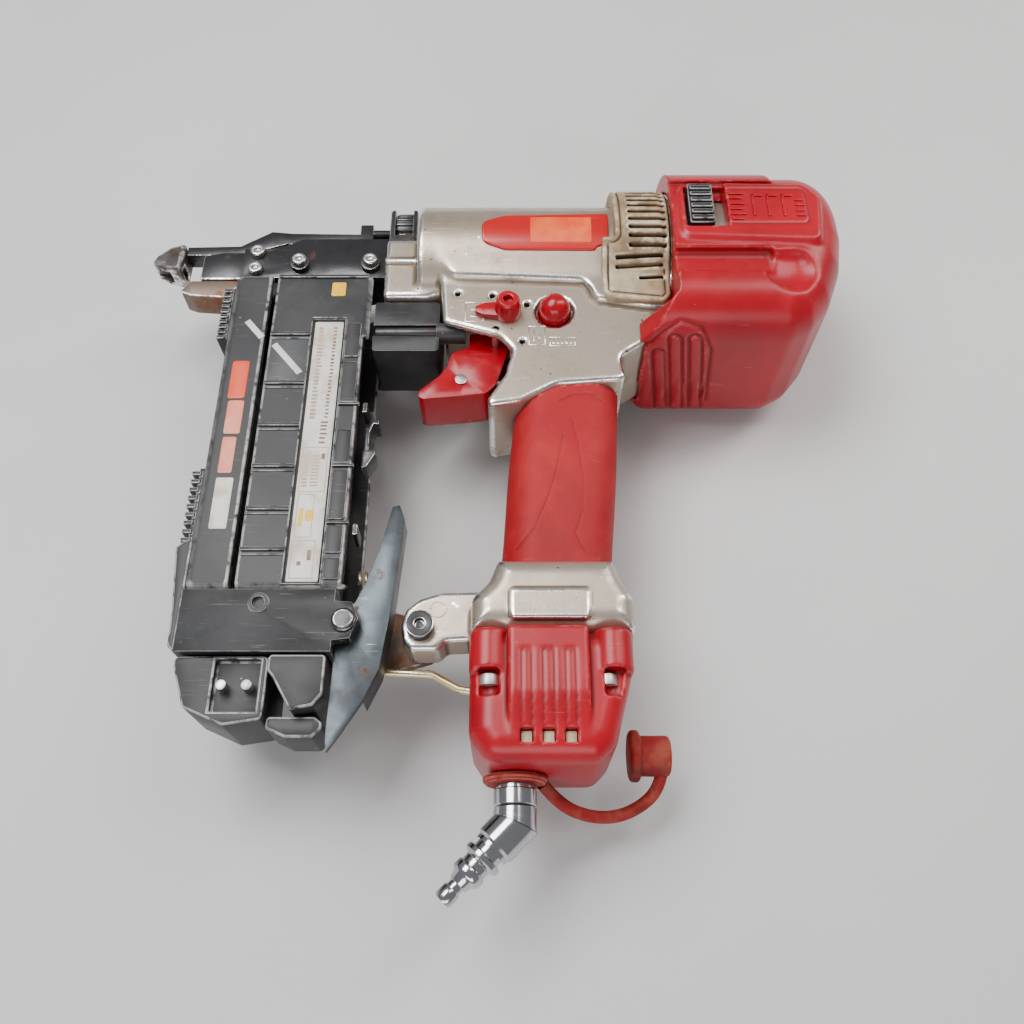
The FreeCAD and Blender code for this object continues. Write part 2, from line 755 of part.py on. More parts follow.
def inlet():
    low = neck_y - end_cap_length - 4
    bore = 4 + run_gap
    collar = [
        (0, bore), (0, inlet_r - 0.5), (0.5, inlet_r), (low - inlet_joint_y - 2.4, inlet_r),
        (low - inlet_joint_y - 2.4, 5.5), (low - inlet_joint_y + 12, 5.5),
        (low - inlet_joint_y + 12, bore),
    ]
    keep(turned("inlet_collar", collar, inlet_x, inlet_joint_y, mid, TURN_TO_Y))
    ring = [(0, 5.5), (0, 9.8), (1, 10.8), (2.4, 10.8), (2.4, 5.5)]
    keep(turned("tether_ring", ring, inlet_x, low - 2.4, mid, TURN_TO_Y))


def miter_side(name, upper):
    """A block on one side of the slanted joint."""
    turn = FreeCAD.Rotation(FreeCAD.Vector(0, 0, 1), -miter_angle.value)
    block = prism(name, rectangle(-40, 40, -0.1, 60) if upper else rectangle(-40, 40, -60, 0.1),
                  60, inlet_x, miter_y, turn=turn)
    return block


def miter_spigot(name, radius, length):
    """A round stub square to the slanted joint, from just below it up into the collar."""
    normal = FreeCAD.Vector(math.sin(math.radians(miter_angle.value)),
                            math.cos(math.radians(miter_angle.value)), 0)
    turn = FreeCAD.Rotation(FreeCAD.Vector(0, 0, 1), normal)
    sink = 2
    return cylinder(name, radius, length + sink, inlet_x - sink * normal.x,
                    miter_y - sink * normal.y, mid, turn)


def swivel():
    """A collar that turns in the inlet, and an elbow that turns on its slanted face."""
    spigot = 4
    air = 2.4
    top = inlet_joint_y - 0.2
    skirt = cylinder("swivel_skirt", inlet_r, 14, inlet_x, top - 14, mid, ALONG_Y)
    stem = cylinder("swivel_stem", spigot, 17, inlet_x, top - 5, mid, ALONG_Y)
    passage = cylinder("swivel_passage", air, 45, inlet_x, top - 30, mid, ALONG_Y)
    spigot_room = miter_spigot("spigot_room", 3.4 + run_gap, 4.4)
    keep(cut("swivel_collar", fuse("swivel_blank", skirt, stem), passage,
             miter_side("miter_low_side", False), spigot_room))

    reach = plug_length
    profile = [
        (-14, 0), (-14, inlet_r), (9, inlet_r), (10, inlet_r - 1), (11.5, inlet_r - 1),
        (11.5, 5), (13.5, 5), (13.5, 6.6), (16, 6.6), (17, 4.6), (19, 4.6), (20, 5.4), (22.5, 5.4),
        (24, 3.9), (26, 3.4), (26, 2.6), (28, 2.6), (28, 3.4), (29, plug_r), (reach - 1, plug_r),
        (reach, plug_r - 0.7), (reach, 0),
    ]
    down_left = FreeCAD.Rotation(FreeCAD.Vector(0, 0, 1), -90 - miter_angle.value * 2)
    blank = turned("elbow_blank", profile, inlet_x, miter_y, mid, down_left)
    hole = turned("elbow_passage", [(-16, 0), (-16, 1.9), (reach + 1, 1.9), (reach + 1, 0)],
                  inlet_x, miter_y, mid, down_left)
    slanted = cut("elbow_slanted", blank, miter_side("miter_high_side", True))
    keep(cut("plug_elbow", fuse("elbow_solid", slanted, miter_spigot("elbow_spigot", 3.4, 4)),
             hole))


def dust_cap():
    """The rubber dust cap and the strap that ties it to the inlet."""
    strap_r = 2.2
    route = [
        (15.2, -111.4, 38), (20.5, -116.5, 32), (30, -119.6, 25), (41, -119.4, 20.5),
        (50.5, -115.2, 19.5), (56.3, -109.8, 22), (57.2, -105.2, 25.5),
    ]
    keep(tube("cap_tether", route, strap_r))
    profile = [
        (0, 0), (0, 8), (1, 9), (3, 9), (4, 8), (4, 7), (13.5, 7), (14.5, 6), (14.5, 4.2),
        (5, 4.2), (5, 0),
    ]
    keep(turned("dust_cap", profile, 45.8, -99.4, 26.5))


# ---- nose, driver guide and contact arm ----

def driver_slot(name, x_low, x_high):
    half = blade_width / 2 + part_gap
    rise = blade_thick / 2 + part_gap
    return box(name, (x_low, axis_y - rise, mid - half), (x_high, axis_y + rise, mid + half))


def driver_guide():
    outline = [
        (-110, 97), (shelf_x - 0.1, 97), (shelf_x - 0.1, 118.5), (-85, 118.5), (-92, 115),
        (-99, 113), (-110, 113),
    ]
    plate = prism("guide_plate", outline, guide_half * 2)
    bosses = [
        cylinder(f"guide_boss_{i + 1}", 4, guide_half + 3, x, 103, mid)
        for i, x in enumerate((-85, -55))
    ]
    feed_half = 3.2
    feed = box("feed_slot", (-104, 90, mid - feed_half), (-57, axis_y + 0.5, mid + feed_half))
    holes = [
        cylinder(f"guide_screw_hole_{i + 1}", 1.6, 30, x, y, mid - 15)
        for i, (x, y) in enumerate(guide_screw_places())
    ]
    keep(cut("driver_guide", fuse("guide_solid", plate, *bosses),
             driver_slot("guide_slot", -111, -47), feed, *holes))


def guide_screw_places():
    return [(-104, 101), (-104, 110.5), (-85, 103), (-55, 103)]


def guide_screws():
    screws = []
    for i, (x, y) in enumerate(guide_screw_places()):
        top = guide_half + (3 if i > 1 else 0)
        profile = [(0, 0), (0, 1.6), (8, 1.6), (8, 3), (10, 3), (10.5, 2.5), (10.5, 1.2), (9.3, 1.2),
                   (9.3, 0)]
        screws.append(turned(f"guide_screw_{i + 1}", profile, x, y, mid + top - 8, TURN_TO_Z))
    keep(group("guide_screws", *screws))


def nose_block():
    outline = [(-128, 98), (-110.1, 98), (-110.1, 113), (-120, 113), (-128, 111)]
    block = prism("nose_block_solid", outline, 14)
    keep(cut("nose_block", block, driver_slot("nose_slot", -129, -109)))
    shoe = [(-136, 92), (-131, 90), (-117, 89), (-110.1, 96), (-110.1, 97.9), (-132, 97.9)]
    keep(round_edges(prism("nose_shoe", shoe, 12), 1, upright))


def contact_arm():
    tip = [
        (nose_x, 109), (nose_x + 1.5, 106), (nose_x + 7, 102.5), (-138, 102), (-137, 113.6),
        (-137, 118.5), (nose_x + 6, 118.5), (nose_x + 1, 114),
    ]
    foot = prism("contact_foot_solid", tip, 15)
    round_edges(foot, 1.2, upright)
    relief = box("foot_relief", (nose_x - 1, axis_y - 2.5, mid - 4), (-136, axis_y + 2.5, mid + 4))
    keep(cut("contact_foot", foot, relief))

    bar = [
        (-136.9, 114), (-114, 114), (-101, 118.2), (-94, 120.5), (-56.5, 120.5), (-56.5, 131.5),
        (-62, 131.5), (-62, 126), (-92, 126.5), (-101, 127.5), (-114, 119), (-136.9, 118.4),
    ]
    flat = prism("contact_bar_flat", bar, bar_half * 2)
    bridge = box("contact_bridge", (-74, 120.5, mid - 21), (-62, 126, mid - bar_half + 1))
    rod = bore_x("adjuster_rod", 2.2, -58, -43.5, 129.2)
    keep(fuse("contact_bar", flat, bridge, rod))

    strip = [(-74, 120.4), (-74, 60), (-42, 60), (-42, 69), (-62, 73), (-62, 120.4)]
    plate = prism("link_strip", strip, 2.4, z=mid - 19.6)
    pin = cylinder("link_pin", 2, 33, -46, 65, mid - 20)
    slide = bore_x("link_rod_bar", 2.4, -50, -21.2, 65, mid + 12)
    keep(fuse("contact_link", plate, pin, slide))


def adjuster():
    dial_low = -45.5
    dial_length = 7
    outline = rectangle(shelf_x, barrel_front_x - 2, 112.1, 134)
    block = round_edges(prism("adjuster_blank", outline, 21), 1.5, upright)
    window = box("dial_window", (dial_low - part_gap, 119.5, mid - 12),
                 (dial_low + dial_length + part_gap, 136, mid + 12))
    hole = bore_x("adjuster_hole", 2.2 + run_gap, shelf_x - 1, barrel_front_x - 1, 129.2)
    keep(cut("adjuster_block", block, window, hole))
    dial = bore_x("dial_disc", dial_r, dial_low, dial_low + dial_length, 129.2)
    teeth = []
    count = 20
    for i in range(count):
        angle = 2 * math.pi * i / count
        teeth.append(bore_x(f"dial_notch_{i + 1}", 0.7, dial_low - 1, dial_low + dial_length + 1,
                            129.2 + dial_r * math.cos(angle), mid + dial_r * math.sin(angle)))
    bore = bore_x("dial_bore", 2.2 + run_gap, dial_low - 1, dial_low + dial_length + 1, 129.2)
    keep(cut("adjuster_dial", dial, bore, fuse("dial_notches", *teeth)))


def link_housing():
    outline = rectangle(-51, -24.5, 55, 79.3)
    block = round_edges(prism("housing_block", outline, 28), 1.5, upright)
    sleeve = bore_x("housing_sleeve", 4.2, -25.5, -13.8, 65, mid + 12)
    pin_path = box("pin_path", (-48.3, 62.7, -5), (-35, 67.3, mid + 30))
    groove = box("rod_groove", (-52, 62.3, mid + 9.3), (-25.4, 67.7, mid + 20))
    rod_hole = bore_x("rod_hole", 2.4 + run_gap, -30, -10, 65, mid + 12)
    spring_room = bore_x("spring_room", 3.4, -44, -26.5, 65)
    keep(cut("link_housing", fuse("housing_solid", block, sleeve), pin_path, groove, rod_hole,
             spring_room))
    keep(coil("contact_spring", 2.4, 0.35, 16.4, 7, -43.6, 65, mid, ALONG_X))


# ---- trigger, valve, lock knob and side button ----

def trigger():
    outline = [
        (-12.2, 66.5), (2.4, 64.5), (3.4, 57.5), (-1.7, 41.2), (-5.6, 37.2), (-15, 36), (-30, 34.6),
        (-32, 36), (-31.5, 38.6), (-24, 45.5), (-21, 50), (-19.2, 56.6), (-12.4, 59.6),
    ]
    wall = trigger_wall
    inside = [
        (-10.6, 70), (8, 70), (8, 37.2 + wall), (-6, 37.2 + wall), (-15, 36 + wall), (-24, 37.5),
        (-21, 45.5), (-18.8, 51), (-17.6, 55.6), (-10.8, 58.6),
    ]
    channel = round_edges(prism("trigger", outline, trigger_half * 2), 1.2, upright)
    pocket(channel, (trigger_half - wall) * 2, inside, both_ways=True)
    sketch_holes = [(trigger_x, trigger_y, trigger_pin_r + run_gap), (rivet_x, rivet_y, 1.5)]
    pocket(channel, tool_width, None, sketch_holes, both_ways=True)
    keep(channel)
    keep(cylinder("trigger_pin", trigger_pin_r, body_half * 2, trigger_x, trigger_y,
                  mid - body_half))
    head = 2.4
    rivet = [
        (0, 0), (0, head), (0.8, head), (0.8, 1.5), (trigger_half * 2 + 0.8, 1.5),
        (trigger_half * 2 + 0.8, head), (trigger_half * 2 + 1.6, head), (trigger_half * 2 + 1.6, 0),
    ]
    keep(turned("trigger_rivet", rivet, rivet_x, rivet_y, mid - trigger_half - 0.8, TURN_TO_Z))


def contact_lever():
    outline = [(-19.9, 40.8), (-12.5, 40), (-8.4, 52), (-8, 57.6), (-10.2, 57.6), (-14.3, 52)]
    blade = prism("contact_lever", outline, 11, circles=[(rivet_x, rivet_y, 1.5 + run_gap)])
    keep(blade)


def trigger_valve():
    stem = 1.8
    housing = [
        (0, stem + run_gap), (0, 5), (1.5, 6), (4, 6), (4, 6.9), (21, 6.9), (21, 4.2), (9.5, 4.2),
        (9.5, stem + run_gap),
    ]
    keep(turned("trigger_valve_body", housing, 4, valve_y, mid))
    plunger = [
        (-8, 0), (-8, stem - 0.5), (-7.5, stem), (9.8, stem), (9.8, 4), (12.5, 4), (12.5, 1.5),
        (14, 1.5), (14, 0),
    ]
    keep(turned("valve_plunger", plunger, 4, valve_y, mid))
    keep(coil("plunger_spring", 3, 0.4, 7.6, 5, 17, valve_y, mid, ALONG_X))


def lock_knob():
    top = body_half + part_gap
    profile = [
        (-6, 0), (-6, 3), (top - body_half, 3), (top - body_half, 5.2), (4, 5.2), (8, 4.6),
        (9, 3.8), (9, 2), (6.5, 2), (6.5, 0),
    ]
    knob = turned("lock_knob_turned", profile, lock_x, lock_y, mid + body_half, TURN_TO_Z)
    tab = prism("lock_knob_tab", [(-13, -1.2), (-10, -2.8), (0, -4), (0, 4), (-10, 2.8), (-13, 1.2)],
                2.6, lock_x, lock_y, mid + top + 1.3)
    keep(fuse("trigger_lock_knob", knob, tab))


def side_button():
    profile = [
        (0, 0), (0, button_r), (9, button_r), (11.5, button_r - 1.4), (13, button_r - 3.4), (13.6, 0),
    ]
    keep(turned("side_button", profile, button_x, button_y, mid + body_half - 6, TURN_TO_Z))


# ---- magazine ----

def magazine_cover():
    front = magazine_front_x
    rear = magazine_rear_x
    low = magazine_low_y
    top = magazine_top_y
    half = magazine_half
    wall = magazine_wall
    shell = round_edges(box_body("magazine_shell", front, rear, low, top, half * 2), 2.5,
                        lambda edge: abs(edge.tangentAt(edge.FirstParameter).y) > 0.99)
    inside = box("magazine_inside", (front + wall, low - 1, mid - half + wall),
                 (rear + 1, top + 1, mid + half - wall))
    ribs = []
    for i in range(6):
        y = 78 - 20 * i
        ribs.append(box(f"cover_rib_{i + 1}", (-94, y, mid + half - 0.5),
                        (-77, y + 1.4, mid + half + 1)))
    ribs.append(box("cover_rail", (-76.5, low + 4, mid + half - 0.5),
                    (-64, top - 12, mid + half + 0.8)))
    keep(cut("magazine_cover", fuse("magazine_solid", shell, *ribs), inside))


def box_body(name, x_low, x_high, y_low, y_high, thickness, z=mid):
    return prism(name, rectangle(x_low, x_high, y_low, y_high), thickness, z=z)


def front_ribs():
    """Ribbed rubber grips on the front of the magazine cover."""
    for name, low, high, count in (("upper_front_grip", 62, 88.5, 10), ("lower_front_grip", -29, 2, 9)):
        back = box(name + "_back", (magazine_front_x - 3, low, mid - 12),
                   (magazine_front_x - 0.05, high, mid + 12))
        pitch = (high - low) / count
        ribs = [
            box(f"{name}_rib_{i + 1}", (magazine_front_x - 5.5, low + pitch * i, mid - 13),
                (magazine_front_x - 2, low + pitch * i + 1.7, mid + 13))
            for i in range(count)
        ]
        keep(fuse(name, back, *ribs))


def guard_block():
    outline = [
        (-115, -32), (-112, -29.5), (magazine_front_x - 0.1, -29.5),
        (magazine_front_x - 0.1, -72), (-112, -69), (-112.5, -57),
    ]
    keep(round_edges(prism("guard_block", outline, 30), 1, upright))


def end_block():
    """The fixed lower end of the magazine, with a passage for the rail and the lever's ear."""
    low = -71.8
    body = box_body("end_block_solid", magazine_front_x, -56, low, magazine_low_y - 0.1,
                    magazine_half * 2)
    ear = prism("end_block_ear", [(-57, -53.5), (-50, -54), (-47.5, -60), (-50, -67), (-57, -68)],
                5, z=mid + 14.5)
    low_ear = prism("end_block_low_ear", [(-57, -53.5), (-50, -54), (-47.5, -60), (-50, -67),
                                          (-57, -68)], 4, z=mid - 5)
    ring = cylinder("end_ring", 3.6, 1.2, -82, -54.5, mid + magazine_half - 0.2)
    passage = box("rail_passage", (-106, low - 1, mid - rail_half - 1),
                  (-57.5, magazine_low_y + 1, mid + rail_half + 1))
    hole = cylinder("ear_hole", lever_pin_r, tool_width, lever_x, lever_y, 0)
    ring_hole = cylinder("end_ring_hole", 2.2, 3, -82, -54.5, mid + magazine_half - 0.6)
    blank = fuse("end_block_blank", body, ear, low_ear, ring)
    keep(cut("end_block", blank, passage, hole, ring_hole))


def magazine_bracket():
    outline = [
        (-55.98, -50), (-38, -48), (-24, -52), (-20.5, -57), (-20.5, -63), (-24, -67), (-38, -71),
        (-55.98, -70),
    ]
    bracket_z = mid - lug_half - bracket_thick / 2 - 0.02
    keep(prism("magazine_bracket", outline, bracket_thick, z=bracket_z,
               circles=[(lug_bolt_x, lug_bolt_y, lug_bolt_r + 0.1)]))
    bolt = [
        (0, 0), (0, 4.6), (3.5, 4.6), (3.5, lug_bolt_r), (lug_half * 2 + bracket_thick + 4.5, lug_bolt_r),
        (lug_half * 2 + bracket_thick + 4.5, 5), (lug_half * 2 + bracket_thick + 8, 5),
        (lug_half * 2 + bracket_thick + 8, 1.8), (lug_half * 2 + bracket_thick + 6, 1.8),
        (lug_half * 2 + bracket_thick + 6, 0),
    ]
    keep(turned("lug_bolt", bolt, lug_bolt_x, lug_bolt_y, mid - lug_half - bracket_thick - 3.6,
                TURN_TO_Z))
    route = [(-46, -66, mid - 6.4), (-41.5, -71.6, mid - 6.4), (-23.5, -72.4, mid - 6.4),
             (-14, -77.8, mid - 6.4), (-5, -79.2, mid - 6.4)]
    keep(tube("stay_wire", route, 1.5, 6))


def magazine_rail():
    """The sheet metal rail that slides out of the cover with the pusher on it."""
    low = -72.2
    top = 96.5
    outer = box_body("rail_outer", -104, -58.5, low, top, rail_half * 2)
    inner = box("rail_inner", (-104 + rail_wall, low + 3, mid - rail_half + rail_wall),
                (-58.5 - rail_wall, top + 1, mid + rail_half + 1))
    keep(cut("magazine_rail", outer, inner))
    pusher_low = 82
    block = box_body("pusher", -104 + rail_wall + 0.5, -58.5 - rail_wall - 0.5, pusher_low,
                     pusher_low + 13, (rail_half - rail_wall - 0.4) * 2)
    keep(round_edges(block, 1, upright))
    coil_r = 2
    coil_z = mid - rail_half + rail_wall + coil_r + 0.8
    keep(coil("pusher_spring", coil_r, 0.35, 148, 37, -66, pusher_low - 0.5 - 148, coil_z, ALONG_Y))


def foot():
    """What is fixed to the rail's lower end."""
    top = -72.4
    outline = [
        (-109, top), (-77, top), (-77, -94), (-90, -96), (-104, -90), (-109, -76),
    ]
    block = round_edges(prism("foot_block", outline, 28), 2, upright)
    pocket(block, 3, rectangle(-95, -79.5, -91.5, top - 1), lift=14)
    keep(block)
    pins = [
        cylinder(f"foot_pin_{i + 1}", 1.8, 5, x, -83, mid + 11)
        for i, x in enumerate((-91.5, -83))
    ]
    keep(group("foot_pins", *pins))
    cap = [
        (-76.8, top), (-57.5, top), (-57.5, -86), (-60.5, -90), (-68, -91.5), (-75, -80), (-76.8, -78),
    ]
    keep(round_edges(prism("rail_end_cap", cap, 32), 1.5, upright))
    heel = [(-76.8, -92), (-60.5, -92), (-58, -94), (-58, foot_low_y + 3), (-61, foot_low_y),
            (-70, foot_low_y), (-76.8, -96)]
    keep(round_edges(prism("foot_heel", heel, 20), 1.5, upright))


def latch():
    outline = [
        (-38.9, -14), (-36.4, -13.2), (-34.6, -18), (-36.3, -36), (-37.8, -58), (-40.2, -76),
        (-45, -87), (-52, -98.5), (-55.8, -104), (-56.3, -99), (-55.9, -88), (-55.6, -73.5),
        (-55.6, -60.5), (-54.6, -55), (-50, -52), (-46.5, -44), (-42.5, -31),
    ]
    blade = prism("lever_blade", outline, 2.4, z=mid + 9.8)
    flange = [
        (-38.4, -16), (-36.4, -13.2), (-34.6, -18), (-36.3, -36), (-37.8, -58), (-40.2, -76),
        (-45, -87), (-46.2, -84.5), (-42, -75), (-39.8, -58), (-38.3, -36), (-36.8, -19),
    ]
    side = prism("lever_flange", flange, 13, z=mid + 4.5)
    boss = cylinder("lever_boss", lever_pin_r + 0.6, 11.4, lever_x, lever_y, mid - 2.8)
    hole = cylinder("lever_hole", lever_pin_r + run_gap, 30, lever_x, lever_y, mid - 10)
    keep(cut("latch_lever", fuse("lever_solid", blade, side, boss), hole))
    pin = [
        (0, 0), (0, lever_pin_r), (24.6, lever_pin_r), (24.6, 4.2), (25.6, 4.2), (26.4, 3.2),
        (26.4, 0),
    ]
    keep(turned("latch_pin", pin, lever_x, lever_y, mid - 7.5, TURN_TO_Z))
    keep(coil("latch_spring", 3.2, 0.6, 11.5, 5, magazine_rear_x + 0.9, -40, mid + 2, ALONG_X))


body_casting()
cylinder_sleeve()
bumper()
piston()
head()
cap_cover()
slide_knob()
vent_cover()
name_plate()
grip_sleeve()
end_cap()
end_cap_screws()
inlet()
swivel()
dust_cap()
driver_guide()
guide_screws()
nose_block()
contact_arm()
adjuster()
link_housing()
trigger()
contact_lever()
trigger_valve()
lock_knob()
side_button()
magazine_cover()
front_ribs()
guard_block()
end_block()
magazine_bracket()
magazine_rail()
foot()
latch()


# ---- checks and export ----

doc.recompute()
failed = [thing.Name for thing in doc.Objects if "Invalid" in thing.State or "Error" in thing.State]
if failed:
    raise ValueError(f"these did not build: {failed}")

os.makedirs("parts", exist_ok=True)
for piece in pieces:
    shape = piece.Shape
    if shape.isNull() or not shape.isValid() or not shape.Solids:
        raise ValueError(f"{piece.Label} has no valid solid")
    shape = shape.translated(vector(origin_shift, 0, 0))
    shape.exportStep(f"parts/{piece.Label}.step")
    print(f"{piece.Label}: {len(shape.Solids)} solid, {shape.Volume / 1000:.2f} cm3")
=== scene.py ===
import json
import math

import bmesh
import bpy
import numpy as np
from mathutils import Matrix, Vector

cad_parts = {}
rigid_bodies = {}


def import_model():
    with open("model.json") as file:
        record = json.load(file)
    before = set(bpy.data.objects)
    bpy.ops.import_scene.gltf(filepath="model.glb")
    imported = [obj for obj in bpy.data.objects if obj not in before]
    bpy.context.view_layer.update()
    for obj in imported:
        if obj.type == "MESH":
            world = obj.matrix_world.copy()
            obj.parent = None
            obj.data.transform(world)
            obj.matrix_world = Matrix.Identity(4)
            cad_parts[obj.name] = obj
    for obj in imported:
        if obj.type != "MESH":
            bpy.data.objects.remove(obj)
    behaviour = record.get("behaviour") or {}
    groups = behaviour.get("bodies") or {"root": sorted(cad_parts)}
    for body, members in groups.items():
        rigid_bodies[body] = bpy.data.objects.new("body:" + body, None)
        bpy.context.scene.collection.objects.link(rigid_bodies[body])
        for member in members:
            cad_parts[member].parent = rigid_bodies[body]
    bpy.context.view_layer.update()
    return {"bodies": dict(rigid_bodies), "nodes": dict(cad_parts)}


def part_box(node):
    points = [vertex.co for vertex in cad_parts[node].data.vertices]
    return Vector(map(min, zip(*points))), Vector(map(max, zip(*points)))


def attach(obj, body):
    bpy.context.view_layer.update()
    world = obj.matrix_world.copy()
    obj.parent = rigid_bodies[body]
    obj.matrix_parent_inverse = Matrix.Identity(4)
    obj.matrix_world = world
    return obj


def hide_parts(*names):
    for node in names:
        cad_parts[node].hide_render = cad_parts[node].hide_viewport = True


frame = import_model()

MID = 41.0  # middle plane of the tool, in millimetres above the floor
SHIFT = 5.75  # from the drawing's X to the record's X, in millimetres
AXIS_Y = 107  # line of the barrel
NECK_Y = -66  # joint between the casting and the end cap
GRIP_LEAN = math.radians(4.5)
SIDES = 72  # facets round a turned piece
BODY_OF = {
    node: next(name for name, empty in frame["bodies"].items() if shown.parent is empty)
    for node, shown in frame["nodes"].items()
}
scene = bpy.context.scene


# ---- camera, lights and floor ----

def link(obj):
    scene.collection.objects.link(obj)
    return obj


def lamp(name, place, aim, size, watts, colour=(1, 1, 1)):
    data = bpy.data.lights.new(name, "AREA")
    data.shape = "RECTANGLE"
    data.size, data.size_y = size
    data.energy = watts
    data.color = colour
    obj = link(bpy.data.objects.new(name, data))
    obj.location = place
    obj.rotation_euler = (Vector(aim) - Vector(place)).to_track_quat("-Z", "Y").to_euler()


def studio():
    camera = bpy.data.cameras.new("camera")
    camera.lens = 33.75
    camera.sensor_width = 36
    camera.clip_start = 0.01
    camera_obj = link(bpy.data.objects.new("camera", camera))
    camera_obj.location = (0.01075, -0.179, 0.365)
    camera_obj.rotation_euler = (math.radians(27.5), 0, 0)
    scene.camera = camera_obj
    lamp("key", (-0.35, 0.25, 0.95), (0, 0, 0.03), (0.7, 0.5), 12.5)
    lamp("strip", (0.55, 0.35, 0.7), (0.02, 0, 0.03), (0.25, 0.9), 5.5, (1, 0.97, 0.94))
    lamp("front", (-0.1, -0.9, 0.5), (0, 0, 0.03), (1.0, 0.35), 5)
    world = bpy.data.worlds.new("studio")
    scene.world = world
    world.use_nodes = True
    world.node_tree.nodes["Background"].inputs[0].default_value = (0.75, 0.77, 0.8, 1)
    world.node_tree.nodes["Background"].inputs[1].default_value = 0.34


# ---- shapes as distance fields, in millimetres ----

def polygon(x, y, points):
    """Signed distance to a closed outline, negative inside."""
    nearest = np.full(np.broadcast(x, y).shape, 1e9)
    side = np.ones(nearest.shape)
    for (ax, ay), (bx, by) in zip(points, points[1:] + points[:1]):
        ex, ey = bx - ax, by - ay
        wx, wy = x - ax, y - ay
        along = np.clip((wx * ex + wy * ey) / (ex * ex + ey * ey), 0, 1)
        nearest = np.minimum(nearest, (wx - ex * along) ** 2 + (wy - ey * along) ** 2)
        above, below, left = y >= ay, y < by, ex * wy > ey * wx
        side = np.where((above & below & left) | (~above & ~below & ~left), -side, side)
    return side * np.sqrt(nearest)


def track(x, y, points):
    """Distance to an open run of straight lines."""
    nearest = np.full(np.broadcast(x, y).shape, 1e9)
    for (ax, ay), (bx, by) in zip(points, points[1:]):
        ex, ey = bx - ax, by - ay
        along = np.clip(((x - ax) * ex + (y - ay) * ey) / (ex * ex + ey * ey), 0, 1)
        nearest = np.minimum(nearest, (x - ax - ex * along) ** 2 + (y - ay - ey * along) ** 2)
    return np.sqrt(nearest)


def rounded(points, radius):
    """The outline with its corners drawn as curves."""
    curve = []
    for i, corner in enumerate(points):
        reach = radius[i] if isinstance(radius, (list, tuple)) else radius
        before, corner, after = (np.array(p, float) for p in
                                 (points[i - 1], corner, points[(i + 1) % len(points)]))
        u, v = before - corner, after - corner
        half = math.acos(np.clip(u @ v / np.linalg.norm(u) / np.linalg.norm(v), -1, 1)) / 2
        cut = min(reach / math.tan(half), 0.48 * min(np.linalg.norm(u), np.linalg.norm(v)))
        start, end = corner + u / np.linalg.norm(u) * cut, corner + v / np.linalg.norm(v) * cut
        for t in np.linspace(0, 1, 5 if cut > 0.05 else 1):
            curve.append(tuple((1 - t) ** 2 * start + 2 * t * (1 - t) * corner + t * t * end))
    return curve


def slab(flat, off, half, edge):
    """An outline's distance made into a plate with rounded rims."""
    a, b = flat + edge, np.abs(off) - half + edge
    return np.minimum(np.maximum(a, b), 0) + np.hypot(np.maximum(a, 0), np.maximum(b, 0)) - edge


def block(x, y, z, low, high, edge=1.0):
    parts = [np.abs(p - (a + b) / 2) - (b - a) / 2 + edge
             for p, a, b in zip((x, y, z), low, high)]
    out = np.sqrt(sum(np.maximum(p, 0) ** 2 for p in parts))
    return out + np.minimum(np.maximum(np.maximum(parts[0], parts[1]), parts[2]), 0) - edge


def rod(a, b, radius, off, half, edge=1.0):
    """A round bar; a and b are across it, off is along it from its middle."""
    return slab(np.hypot(a, b) - radius, off, half, edge)


def join(a, b, soft):
    h = np.clip(0.5 + 0.5 * (b - a) / soft, 0, 1)
    return b * (1 - h) + a * h - soft * h * (1 - h)


def carve(a, b, soft):
    return -join(-a, b, soft)


def grip_frame(x, y):
    """Distances across the leaning grip and along it."""
    return ((x - 24) * math.cos(GRIP_LEAN) - y * math.sin(GRIP_LEAN),
            (x - 24) * math.sin(GRIP_LEAN) + y * math.cos(GRIP_LEAN))


def line(distance, width, depth):
    """What a pressed line adds to a field, so that it sinks by depth."""
    return depth * np.exp(-(distance / width) ** 2)


